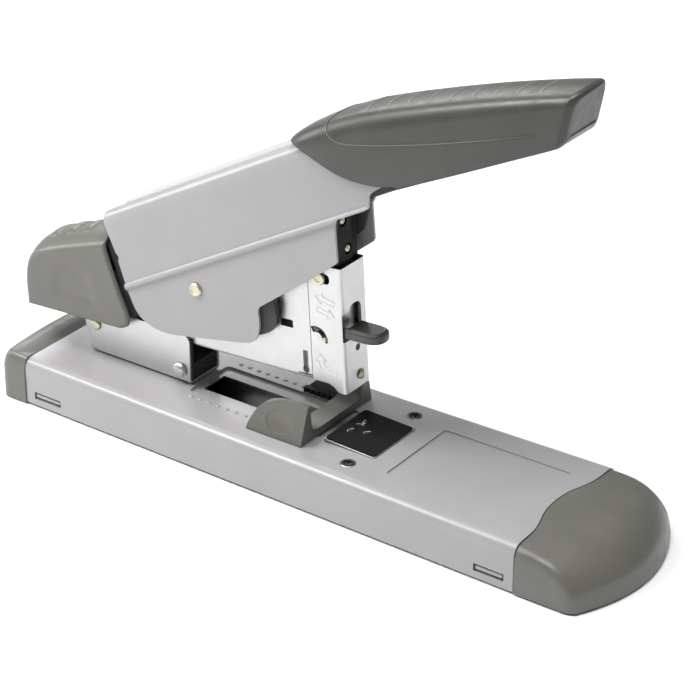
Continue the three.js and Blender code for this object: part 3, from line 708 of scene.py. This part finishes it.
def make_guide():
    rear, front, inner, outer, foot, top = -24, 5, 17.5, 26.3, 22.9, 40.6
    outline = rounded([
        (front + 0.4, foot), (front + 0.8, top - 0.6, 1), (-4, top - 0.3, 3), (-12, top - 2.2, 4), (-19, 34.3, 5.5),
        (-22.8, 27, 3), (rear, foot)], 10)
    valley = rounded([
        (-inner - 1, foot), (inner + 1, foot), (inner + 1, foot + 9), (inner - 0.2, foot + 9),
        (inner - 0.8, foot + 3.4, 5.5), (0.8 - inner, foot + 3.4, 5.5), (0.2 - inner, foot + 9),
        (-inner - 1, foot + 9)], 12)
    low = rounded([
        (front + 0.2, foot), (front + 0.4, 32.8, 1), (-4, 32.6, 3), (-12, 31.4, 4), (-18, 28.8, 4), (-22, 25, 3),
        (rear, foot)], 10)
    body = join(prism(valley, "section", -5, front + 0.2), prism(outline, "side", -outer, -inner),
                prism(low, "side", inner, outer))
    x, z = -7.6, 30.2
    cut(body, prism(ring(x, z, 6.4, 48, 5.0), "side", -40, 0.55 - outer), dimple(x, z, 0.5 - outer, 5.7, 4.4, 0.7))
    upright = 13
    for vertex in body.data.vertices:
        _, y, z = vertex.co
        lean = (z - foot) / 19
        share = max(0.0, (abs(y) - inner) / (outer - inner))
        if abs(y) > upright:
            start = min(1.0, (abs(y) - upright) / (inner - upright))
            inward = lean * ((5.6 if y < 0 else 4) * share - 2.3 * start * (1 - share))
            vertex.co.y -= math.copysign(1, y) * inward
    piece(body, "paper_guide_body", WORLD, "paper_guide", 0.45, 40, 3, sharp=45)
    refined("guide_foot", 0.2)
    refined("guide_latch", 0.15)
    teeth = [(-23.5 + 3.1 * i + dx, 15 - dy) for i in range(6) for dx, dy in ((0.5, 0.7), (2.1, 0.7), (2.6, 0))]
    rack = prism([(-23.5, 17.4), (-23.5, 15), *teeth, (-4.6, 15), (-4.6, 17.4)], "plan", 22.75, 24.8)
    piece(rack, "guide_rack", WORLD, (), 0.2, body="paper_guide", slot="black_steel")


# ---------------- hinge bracket
BOLT = (-72.3, 29.2)
BOLT_HOLE = 2.3
PIVOT_HOLE = 2.5


def make_bracket():
    half, sheet, foot, top = 10.4, 1.4, 23, 47
    body = prism(channel(half, top, foot, sheet, 2.4), "section", -124.5, -66.8)
    side = rounded([(-124.5, foot - 1), (-66.8, foot - 1), (-66.8, top, 4), (-124.5, top, 6)], 8)
    common(body, across(side))
    cut(body, across(ring(*HEAD_PIVOT, PIVOT_HOLE)), across(ring(*BOLT, BOLT_HOLE)))
    piece(body, "hinge_bracket_channel", WORLD, "hinge_bracket", 0.25)
    strip = [box(-66.75, -66.2, -half + 0.1, -half + 1.3, 25, 45.5)]
    strip += [box(-66.3, -65.7, -half - 0.05, -half + 1.35, 25.2 + 0.9 * k, 25.7 + 0.9 * k) for k in range(23)]
    piece(merge(strip), "bracket_edge_strip", WORLD, (), 0.08, body="base", slot="black_steel")
    out = half + GAP
    rivet = both_ends([(1.6, -out - 0.95), (2.4, -out - 0.65), (2.6, -out - 0.3), (2.6, -out), (2.2, -out)])
    piece(turned(*HEAD_PIVOT, rivet), "head_pivot_rivet", WORLD, "head_pivot_pin", 0, sharp=40)
    bolt = turned(*BOLT, [
        (0.5, -out - 2.3), (2, -out - 2.2), (2.9, -out - 1.7), (3.4, -out - 1), (3.5, -out - 0.3), (3.5, -out),
        (2, -out), (2, out + 2.9), (1.6, out + 3)])
    hexagon = ring(*BOLT, 3.65, 6)
    common(bolt, join(prism(hexagon, "side", -20, -out - 0.5), box(-77, -67, -out - 0.6, 20, 24, 34)))
    piece(bolt, "bracket_bolt_shape", WORLD, "bracket_bolt", 0.12, 25, sharp=30)
    refined("bracket_nut", 0.3)
    block = box(-80, -67.4, -8.7, 8.7, 24.7, 32)
    grooves = [box(-67.9, -60, -10, 10, z, z + 0.45) for z in (25.8, 26.9, 28, 29.1, 30.2)]
    cut(block, across(ring(*BOLT, BOLT_HOLE)), *grooves)
    piece(block, "stop_block_ribbed", WORLD, "stop_block", 0.25)


# ---------------- springs
def coil(length, radius, wire, turns, steps=20, facets=8):
    """A round-wire helix along +Z from the origin, with closed ends; wire is the radius of the wire."""
    rings = []
    total = turns * steps
    for k in range(total + 1):
        t = k / total
        angle = 2 * math.pi * turns * t
        dead = 1.2 / turns
        rise = length - 2 * wire
        if t < dead:
            height = t / dead * wire
        elif t > 1 - dead:
            height = rise - (1 - t) / dead * wire
        else:
            height = wire + (t - dead) / (1 - 2 * dead) * (rise - 2 * wire)
        centre = Vector((radius * math.cos(angle), radius * math.sin(angle), wire + height))
        out = Vector((math.cos(angle), math.sin(angle), 0))
        rings.append([centre + wire * (out * math.cos(a) + Vector((0, 0, 1)) * math.sin(a))
                      for a in full_turn(facets)])
    return loft(rings)


def make_springs():
    foot, top = 24.8, 39.4
    spring = turn(coil(top - foot, 3.8, 0.5, 8), Matrix.Translation((-94, 0, foot)))
    piece(spring, "head_spring_coil", WORLD, "head_spring", 0, sharp=60)
    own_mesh(spring)
    length, rear = 70, -23
    spring = turn(coil(length, 2.5, 0.35, 34, 14, 6), placed((rear, 0, 24), math.pi / 2, "Y"))
    piece(spring, "pusher_spring_coil", HEAD, "pusher_spring", 0, sharp=60)
    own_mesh(spring)
    spring = turn(coil(13, 4.4, 0.75, 7, 24), placed((PIVOT_U, -6.5, PIVOT_V), -math.pi / 2, "X"))
    piece(spring, "handle_spring_coil", HEAD, "handle_spring", 0, sharp=60)


# ---------------- magazine and nose
NOSE_PIN = (126.5, 51.3)
NOSE_FRONT = 137.6
CAM_TURN = Vector((123.4, 22.6))
CAM_RADIUS = 4.4


def make_magazine():
    rear, seam, bottom, top, half, sheet = -8, 120.2, 2.5, 56.8, 8.8, 1
    body = prism(channel(half, top + 4, bottom, sheet, 1.7), "section", 9, 125)
    join(body, box(rear - 2, 9.4, -half, sheet - half, -8, top), box(rear - 2, 9.4, half - sheet, half, -8, top))
    outline = rounded([
        (rear, -4.5, 4), (5, -4.5, 3), (9, bottom - 0.01, 1.5), (seam, bottom - 0.01), (seam, 49), (seam - 1.4, 50.5),
        (seam - 1.4, top), (84, top, 3), (50, 42, 6), (rear, 22, 4)], 8)
    common(body, across(outline))
    cut(body, *[across(hole) for hole in (
        ring(0, 0, PIVOT_HOLE), ring(PIVOT_U, PIVOT_V, 2.8), rectangle(104.6, 24.5, 111.2, 28.1, 0.3),
        rectangle(115.7, 6.6, 118.3, 15.5, 0.3), ring(117, 6.6, 1.7),
        [(113, 4.1), (122, 4.1), (122, 4.7), (118, 4.9), (113, 4.5)])])
    piece(body, "magazine_channel", HEAD, "magazine", 0.2)


def rivet_head(name, node_name, way):
    y = 9.0
    profile = [(2, 7.9), (2, y), (3.1, y), (3.1, y + 0.4), (2.7, y + 0.95), (1.5, y + 1.05), (1.3, y + 0.85),
               (0.3, y + 0.85)]
    piece(turned(*NOSE_PIN, [(r, way * h) for r, h in profile]), name, HEAD, node_name, 0, sharp=40)


def make_staples():
    """The strip of staples: one ridge for each wire."""
    half, bottom, top, wire, rear, front = 6.4, 4.2, 20.8, 0.6, 59, 119.4
    section = rounded([
        (-half, bottom), (-half, top, 0.7), (half, top, 0.7), (half, bottom), (half - 0.5, bottom),
        (half - 0.5, top - 0.5, 0.3), (0.5 - half, top - 0.5, 0.3), (0.5 - half, bottom)], 3)
    count = int((front - rear) / wire)
    rings = []
    for k in range(count):
        x = rear + k * wire
        for shift, shrink in ((0.02, 0.08), (0.12, 0), (wire - 0.12, 0), (wire - 0.02, 0.08)):
            row = []
            for i, (y, z) in enumerate(section):
                if i < len(section) / 2:
                    y -= math.copysign(shrink, y)
                    z -= shrink if z > top - 1 else 0
                row.append((x + shift, y, z))
            rings.append(row)
    piece(loft(rings), "staple_row", HEAD, "staple_strip", 0, sharp=30)


def make_head():
    make_magazine()
    make_staples()
    rivet_head("nose_rivet_near", "nose_pin_near", -1)
    rivet_head("nose_rivet_far", "nose_pin_far", 1)
    out = 14.2
    rivet = both_ends([(0.4, -out - 0.85), (1.7, -out - 0.85), (1.9, -out - 1.05), (2.7, -out - 1), (3.2, -out - 0.5),
                       (3.2, -out), (2.4, -out)])
    piece(turned(PIVOT_U, PIVOT_V, rivet), "handle_pivot_rivet", HEAD, "handle_pivot_pin", 0, sharp=40)
    refined("front_guide", 0.25)
    for node_name in ("staple_rail", "pusher"):
        refined(node_name, 0.12)
    rod = along_x(both_ends([(1.2, -71.2), (1.5, -70.9)]), (40.75, 0, 24))
    piece(rod, "spring_rod_bar", HEAD, "spring_rod", 0)


def arrow(points, width, head):
    """A flat arrow outline along a bent line, pointing past its last point."""
    points = [Vector(p) for p in points]
    left, right = [], []
    for i, point in enumerate(points):
        ahead = (points[min(i + 1, len(points) - 1)] - points[max(i - 1, 0)]).normalized()
        side = Vector((-ahead.y, ahead.x)) * width
        left.append(point + side)
        right.append(point - side)
    ahead = (points[-1] - points[-2]).normalized()
    side = Vector((-ahead.y, ahead.x))
    tip = [points[-1] + side * head, points[-1] + ahead * head * 1.3, points[-1] - side * head]
    return left + tip + right[::-1]


def raised_line(points, y):
    """A closed raised bead along an outline on a face that looks along -y."""
    width, height = 0.22, 0.16
    rings = []
    count = len(points)
    for i, point in enumerate(points):
        ahead = (points[(i + 1) % count] - points[i - 1]).normalized()
        side = Vector((-ahead.y, ahead.x))
        rings.append([(point.x + side.x * s, y - h, point.y + side.y * s)
                      for s, h in ((-width, -0.1), (-width * 0.6, height), (width * 0.6, height), (width, -0.1))])
    bm = bmesh.new()
    rows = [[bm.verts.new(p) for p in row] for row in rings]
    for i in range(count):
        a, b = rows[i], rows[(i + 1) % count]
        for j in range(4):
            k = (j + 1) % 4
            bm.faces.new((a[j], a[k], b[k], b[j]))
    return solid(bm)


def make_nose():
    half, wall, front, rear = 8.8, 0.9, NOSE_FRONT, 120.5
    section = rounded([
        (rear, -half), (front, -half, 1.7), (front, half, 1.7), (rear, half), (rear, half - wall),
        (front - wall, half - wall, 0.8), (front - wall, wall - half, 0.8), (rear, wall - half)], 8)
    body = prism(section, "plan", -2, 60)
    outline = rounded([
        (rear, 2.8), (130, 2.8, 3), (133.8, -0.5, 1.5), (front + 1, -0.5), (front + 1, 57.3), (rear, 57.3)], 8)
    common(body, across(outline))
    half_slot = 1.35
    arc = [CAM_TURN + (CAM_RADIUS + half_slot) * Vector((math.cos(a), math.sin(a)))
           for a in [-0.2 + 2.3 * k / 20 for k in range(21)]]
    arc += [CAM_TURN + (CAM_RADIUS - half_slot) * Vector((math.cos(a), math.sin(a)))
            for a in [2.1 - 2.3 * k / 20 for k in range(21)]]
    front_holes = [
        rounded([(-4.3, 24), (4.3, 24), (4.3, 39.2, 4.1), (-4.3, 39.2, 4.1)], 10),
        rectangle(0.3 - half, 23.6, 4.3, 36.4, 0.4), ring(0.9, 18.2, 1.6), ring(2.2, 5, 1.5)]
    cut(body, *[prism(hole, "section", front - 3, front + 3) for hole in front_holes],
        prism(arc, "side", -20, 0), across(rectangle(124.2, 49, 131.6, 53.6, 2.2)))
    piece(body, "nose_cover_sheet", HEAD, "nose_cover", 0.18)
    marks = [
        arrow([(133.4, 40.4), (128, 41.6), (127.2, 41.8)], 1.1, 2.6),
        arrow([(124.4, 36.6), (129.4, 35.4), (130.2, 35.2)], 1.0, 2.5),
        arrow([(133.6, 8.2), (126.4, 9.4), (125.6, 10), (125.2, 12.6)], 1.2, 2.7),
    ]
    piece(merge([raised_line(points, -half) for points in marks]), "nose_arrows", HEAD, (), 0,
          body="nose_cover", slot="nickel", sharp=60)
    screw = along_x([(1.2, 1.6), (1.2, -0.3), (2.3, -0.3), (2.2, -0.8), (1.4, -1.25), (0.4, -1.3)], (front, 2.2, 5))
    cut(screw, box(front + 0.75, front + 3, 1.9, 2.5, 2, 8))
    piece(screw, "nose_screw_head", HEAD, "nose_screw", 0.08)


def lever_plan(inset):
    """Outline of the lever's tab from above, drawn in by inset."""
    left, right, root, tip = -8.35 + inset, 4.2 - inset, 138.2 + inset * 0.3, 154.8 - inset
    middle = (left + right) / 2
    points = [Vector((root, left, 0)), Vector((tip - 7, left, 0))]
    points += bezier([(tip - 7, left, 0), (tip - 2, left, 0), (tip, middle - 3.5, 0), (tip, middle, 0)], 12)
    points += bezier([(tip, middle, 0), (tip, middle + 3.5, 0), (tip - 2, right, 0), (tip - 7, right, 0)], 12)
    return points + [Vector((root, right, 0))]


def make_lever():
    levels = [(1.1, 25.4), (0.35, 25.7), (0, 26.4), (0, 28.6), (0.3, 29.3), (1.2, 29.9), (1.6, 30.15), (2.1, 30.0)]
    pad = loft([[(p.x, p.y, v) for p in lever_plan(inset)] for inset, v in levels])
    arm = rounded([
        (123.4, 20.8), (129.4, 20.8, 1), (134.5, 24.9), (139.7, 25.9), (139.7, 30.2), (134.5, 30.2, 2),
        (129.4, 24.8, 1), (123.4, 24.4)])
    join(pad, *[prism(outline, "side", -7.6, -6.6) for outline in (arm, ring(*CAM_TURN, 2.6))])
    # The lever takes the darker grip plastic instead of its own dark plastic: painted shade, for the shade it sits in
    # under the nose.
    piece(pad, "release_lever_tab", HEAD, "release_lever", 0.15, 30, 2, slot="grip_plastic", sharp=35)
    angle = math.radians(6.5)
    u, v = CAM_TURN + CAM_RADIUS * Vector((math.cos(angle), math.sin(angle)))
    piece(turned(u, v, [(0.7, -9.65), (1, -9.4), (1, -7.9)], 24), "lever_cam_pin_head", HEAD, "lever_cam_pin", 0)


def make_driver():
    for node_name in ("driver_block", "driver_blade", "drive_pin"):
        refined(node_name, 0.2)
    for name, y, v in (("driver_screw_lower", 0.2, 63.2), ("driver_screw_upper", -2.4, 76.6)):
        screw = along_x([(1.6, 0.7), (1.6, 0.3), (1.3, 0), (0.7, -0.1), (0.3, -0.1)], (135.4, y, v), 32)
        cut(screw, turn(box(-1, 1, -0.25, 0.25, -4, 4), placed((136.2, y, v), 0.5, "X")))
        piece(screw, name + "_head", HEAD, name, 0.06)


# ---------------- drawer
HOOD_TOP = ((-37.4, 25), (-36.2, 26.4), (-33.6, 29.6), (-28, 33.6), (-17.4, 37.6), (0, 42.8), (13.2, 46.6), (60, 60))


def hood_top(x):
    """Height of the hood's top line at x."""
    for (x0, z0), (x1, z1) in zip(HOOD_TOP, HOOD_TOP[1:]):
        if x < x1:
            return z0 + (z1 - z0) * max(0.0, x - x0) / (x1 - x0)
    return z1


def hood_rings(outline, half, centre, dished):
    """Rings across the hood: a crowned top and back, softly rounded shoulders, flat or dished sides."""
    soft = 1.7
    stations = [(half - soft + soft * math.sin(t), soft * (1 - math.cos(t))) for t in
                [math.pi / 2 * k / 6 for k in range(7)]]
    flat = [(y, 0.0) for y in (-11.9, -10, -7.5, -5, -2.5, 0, 2.5, 5, 7.5, 10, 11.9)]
    stations = [(-y, fall) for y, fall in reversed(stations)] + flat + stations
    rings = []
    for y, fall in stations:
        crown = 3.1 - (24 - math.sqrt(24 * 24 - y * y))
        row = []
        for point in outline:
            high = max(0.0, min(1.0, 1 - (hood_top(point.x) - point.y) / 16))
            back = max(0.0, min(1.0, (-26 - point.x) / 11)) * 0.3
            moved = centre + (point - centre) * (1 - fall * 0.035)
            row.append((moved.x - crown * back, y, moved.y + crown * high))
        rings.append(row)
    if not dished:
        return rings
    for way in (-1, 1):
        end = rings[0] if way < 0 else rings[-1]
        steps = []
        for s in (0.97, 0.93, 0.87, 0.8, 0.72, 0.64, 0.56, 0.48, 0.4, 0.32, 0.24, 0.16, 0.08):
            row = []
            for x, y, z in end:
                p = centre + (Vector((x, z)) - centre) * s
                share = min(1.0, (p - centre).length / 12.5)
                row.append((p.x, y - way * 0.8 * (1 - share ** 5), p.y))
            steps.append(row)
        rings = steps[::-1] + rings if way < 0 else rings + steps
    return rings


def drape(surface, place, u0, u1, half, height, bow=0.0):
    """A thin raised rib that follows the top of a finished piece, across it at u0..u1 in a local frame."""
    count = 9
    mesh = surface.data
    tree = BVHTree.FromPolygons([v.co for v in mesh.vertices], [list(p.vertices) for p in mesh.polygons])
    down = (place.to_3x3() @ Vector((0, 0, -1))).normalized()
    top, under = [], []
    for i in range(count):
        side = -1 + 2 * i / (count - 1)
        upper, lower = [], []
        for j in range(count):
            along = -1 + 2 * j / (count - 1)
            x = (u0 + u1) / 2 + (u1 - u0) / 2 * along + bow * side * side
            hit = tree.ray_cast(place @ Vector((x, half * side, 90)) * MM, down)[0] / MM
            rise = height * max(0.0, 1 - along * along) ** 0.7 * max(0.0, 1 - side ** 6)
            upper.append(hit - down * (rise - 0.06))
            lower.append(hit + down * 0.5)
        top.append(upper)
        under.append(lower)
    bm = bmesh.new()
    top = [[bm.verts.new(p) for p in row] for row in top]
    under = [[bm.verts.new(p) for p in row] for row in under]
    last = count - 1
    for i in range(last):
        for j in range(last):
            bm.faces.new((top[i][j], top[i + 1][j], top[i + 1][j + 1], top[i][j + 1]))
            bm.faces.new((under[i][j], under[i][j + 1], under[i + 1][j + 1], under[i + 1][j]))
    edge = [(i, 0) for i in range(count)] + [(last, j) for j in range(1, count)]
    edge += [(i, last) for i in range(last - 1, -1, -1)] + [(0, j) for j in range(last - 1, 0, -1)]
    for (a, b), (c, d) in zip(edge, edge[1:] + edge[:1]):
        bm.faces.new((top[a][b], top[c][d], under[c][d], under[a][b]))
    return solid(bm)


def make_hood():
    corners = [
        (-37.4, 3.8, 0.3), (-37.4, 15, 3), (-36.2, 24, 4), (-33.6, 29.6, 3.4), (-28, 33.6, 4), (-17.4, 37.6, 5),
        (0, 42.8, 6), (13.2, 46.6, 0.5), (13.6, 41.5, 2), (16.4, 31, 4), (20.4, 19.4, 4), (23.6, 11.6, 2.2),
        (23.4, 6.6, 1.6), (19.2, 4.2, 1.5)]
    inside = [
        (-35.6, -6, 0.3), (-35.6, 15, 3), (-34.4, 23.4, 4), (-32, 28.1, 3.4), (-27.3, 31.8, 4), (-16.8, 35.7, 5),
        (0, 40.9, 6), (13.2, 44.8), (30, 49.8, 0.5), (32, 41.5, 2), (33, 31, 4), (34, 19.4, 4), (34, -6, 1)]
    centre = Vector((-7, 18))
    body = loft(hood_rings(rounded(corners, 6), 15.5, centre, True))
    cut(body, loft(hood_rings(rounded(inside, 6), 13.7, centre, False)))
    piece(body, "rear_hood_shell", HEAD, "rear_hood", 0.35, 55, sharp=42)
    ribs = [drape(body, HEAD, u - 3.6, u + 3.6, 8, 1.05, 1.6) for u in (-25, -15, -5)]
    piece(merge(ribs), "hood_thumb_ridges", WORLD, (), 0, body="drawer", slot="dark_plastic", sharp=70)
    strip = rounded([
        (13, 43.4), (17.6, 47), (20.6, 36.5), (23.4, 24.8), (27.6, 15.2), (25.8, 9.4, 3.2), (24, 9.4, 1),
        (20.4, 20)], 8)
    frame_strip = cut(prism(strip, "side", -12.4, 12.4), box(-20, 60, -11, 11, -20, 41))
    piece(frame_strip, "hood_frame_strip", HEAD, "hood_frame", 0.2)


# ---------------- handle
def make_handle_cover():
    half, sheet, top, edge = 14, 1.2, 44.5, 6
    body = prism(channel(half, -60, top, sheet, edge, 12), "section", -60, 130)
    for way in (-1, 1):
        bead = rounded([
            (way * (half - 0.7), 7.9), (way * half, 8.2, 0.3), (way * (half + 1.25), 9.6, 0.7),
            (way * (half + 1.25), 11.3, 0.8), (way * half, 12.0, 0.25), (way * (half - 0.7), 12.1)], 5)
        join(body, prism(bead, "section", -60, 130))
    join(body, loft([[(p.x, p.y, z) for p in rectangle(-26 + s, s - 9, 130, 9 - s, 5)]
                     for s, z in ((0, top - 0.5), (0, top + 0.05), (0.6, top + 0.55))]))
    outline = rounded([
        (-35.4, top + 5), (-36.9, 26), (-36.4, 25), (-36.4, 23.6), (-37.6, 22), (-39.7, 9), (-40.6, -4, 8),
        (-31, -14.2, 9), (12, -27.8, 5), (20, -29.6, 5), (26.4, -23.5, 4), (29.4, -15.4, 2.5), (64.5, -10.1),
        (81.6, -7, 1.5), (88.4, 8), (90.4, 10.4, 1), (108.9, 10.4, 1.5), (112.5, 16, 2), (124, 18, 2),
        (124, top + 5)], 8)
    common(body, across(outline))
    cut(body, across(ring(0, 0, 2.8)))
    piece(body, "handle_cover_sheet", HANDLE, "handle_cover", 0.3)


GRIP_END = 214
GRIP_STATIONS = [  # place along the handle, bottom, top, half width
    (76.4, 43.6, 46.2, 3), (77.2, 41, 47.2, 6.5), (79, 37.5, 48.3, 10.4), (83, 32, 49.3, 13.8), (89, 25, 50.1, 15.6),
    (97, 19, 50.6, 16.1), (108, 16, 50.6, 16.3), (122, 14.4, 49.7, 16.4), (140, 13.6, 46.9, 16.3),
    (160, 12.4, 43.3, 16), (180, 11.4, 39.3, 15.5), (198, 10.4, 35.1, 14.9), (212, 9.8, 31.6, 14.4),
    (224, 9.4, 28.4, 13.9), (232, 9.1, 26.2, 13.5)]


def grip_section(u, inset):
    """Closed section of the grip at u: crowned top, soft shoulders, nearly square lower corners."""
    for a, b in zip(GRIP_STATIONS, GRIP_STATIONS[1:]):
        if u <= b[0]:
            t = (u - a[0]) / (b[0] - a[0])
            break
    _, bottom, top, half = (p + (q - p) * t for p, q in zip(a, b))
    half -= inset
    top -= inset
    bottom += inset
    tall = top - bottom
    size = min(1.0, half / 12)
    soft = 9.5 - 4.5 * max(0.0, min(1.0, (u - 140) / 70))
    return rounded([
        (-half * 0.96, bottom, 2.2 * size), (half * 0.96, bottom, 2.2 * size), (half, bottom + tall * 0.4, 3 * size),
        (half * 0.96, top - 2.1 * size, soft * size), (0, top - 0.25 * size, 8 * size),
        (-half * 0.96, top - 2.1 * size, soft * size), (-half, bottom + tall * 0.4, 3 * size)], 8)


def grip_rings(raised=0.0):
    """Rings along the grip; the last ones lean and bulge with the end face and round over into it."""
    stations = [(u, 0.0) for u, in spline([(u,) for u in (
        76.4, 77.2, 79, 83, 89, 97, 108, 122, 140, 160, 180, 198, 208)], 4)]
    stations += [(211, 0.0), (GRIP_END, 0.0)]
    soft = 2.8
    for k in range(1, 8):
        t = math.pi / 2 * k / 7
        stations.append((GRIP_END + soft * math.sin(t), soft * (1 - math.cos(t))))
    rings = []
    for u, pull in stations:
        pull -= raised
        lean = max(0.0, min(1.0, (u - 130) / (GRIP_END - 130)))
        lean = lean * lean * (3 - 2 * lean)
        row = []
        for i in range(len(grip_section(u, pull))):
            place = u
            for _ in range(3):
                y, v = grip_section(min(231, max(76.5, place)), pull)[i]
                place = u + lean * (0.84 * (min(v, 26) - 21) + 0.35 * max(0, v - 26) + 3.4 * (1 - (y / 15) ** 2))
            row.append((place, y, v))
        rings.append(row)
    return rings


def inlay_edge():
    """The line where the grip's top insert meets its shell, seen from the side."""
    points = [Vector((106, 60)), Vector((105, 47))]
    points += bezier([(105, 47), (105.5, 40.5), (115.4, 37.3)], 12)
    points += bezier([(115.4, 37.3), (150, 26.8), (201, 18.0)], 30)
    return points


def make_grip():
    body = loft(grip_rings())
    below = rounded([
        (60, 60), (60, 0), (128, 0), (128, 16), (118, 18.4, 5), (104.5, 25.6, 8), (88, 43, 6), (76, 52)], 10)
    room = box(40, 128.4, -13.9, 13.9, -60, 40.5)
    edge = inlay_edge()
    lower = []
    for i, point in enumerate(edge):
        ahead = (edge[min(i + 1, len(edge) - 1)] - edge[max(i - 1, 0)]).normalized()
        width = 0.42 * min(1.0, (len(edge) - 1 - i) / 9) + 0.04
        lower.append(point + Vector((ahead.y, -ahead.x)) * -width)
    # A raised bead along the insert's edge: the bead is real, but its lighter dark_plastic colour against the darker
    # grip is a painted highlight.
    line = common(loft(grip_rings(0.3)), across(edge + lower[::-1]))
    cut(line, loft(grip_rings(-0.4)))
    piece(line, "grip_inlay_edge_painted_highlight", HANDLE, (), 0, body="handle", slot="dark_plastic", sharp=40)
    cover = rounded([(-14.3, -60), (-14.3, 44.8, 6), (14.3, 44.8, 6), (14.3, -60)], 10)
    cut(body, prism(cover, "section", 40, 124.3), room, across(below))
    piece(body, "grip_moulding", HANDLE, ("grip_shell", "grip_inlay"), 0.14, 60, 2, slot="grip_soft", sharp=50)
    # Ribs on the top: the ribs are real, but their lighter dark_plastic colour against the darker grip is a painted
    # highlight.
    ribs = [drape(body, HANDLE, 123.4 + 10.2 * k, 124.8 + 10.2 * k, 8.6, 0.4) for k in range(9)]
    piece(merge(ribs), "grip_ribs_painted_highlight", WORLD, (), 0, body="handle", slot="dark_plastic", sharp=70)


def make_handle():
    make_handle_cover()
    refined("handle_frame", 0.25)
    make_grip()


for make in (make_base, make_guide, make_bracket, make_springs, make_head, make_nose, make_lever, make_driver,
             make_hood, make_handle):
    make()
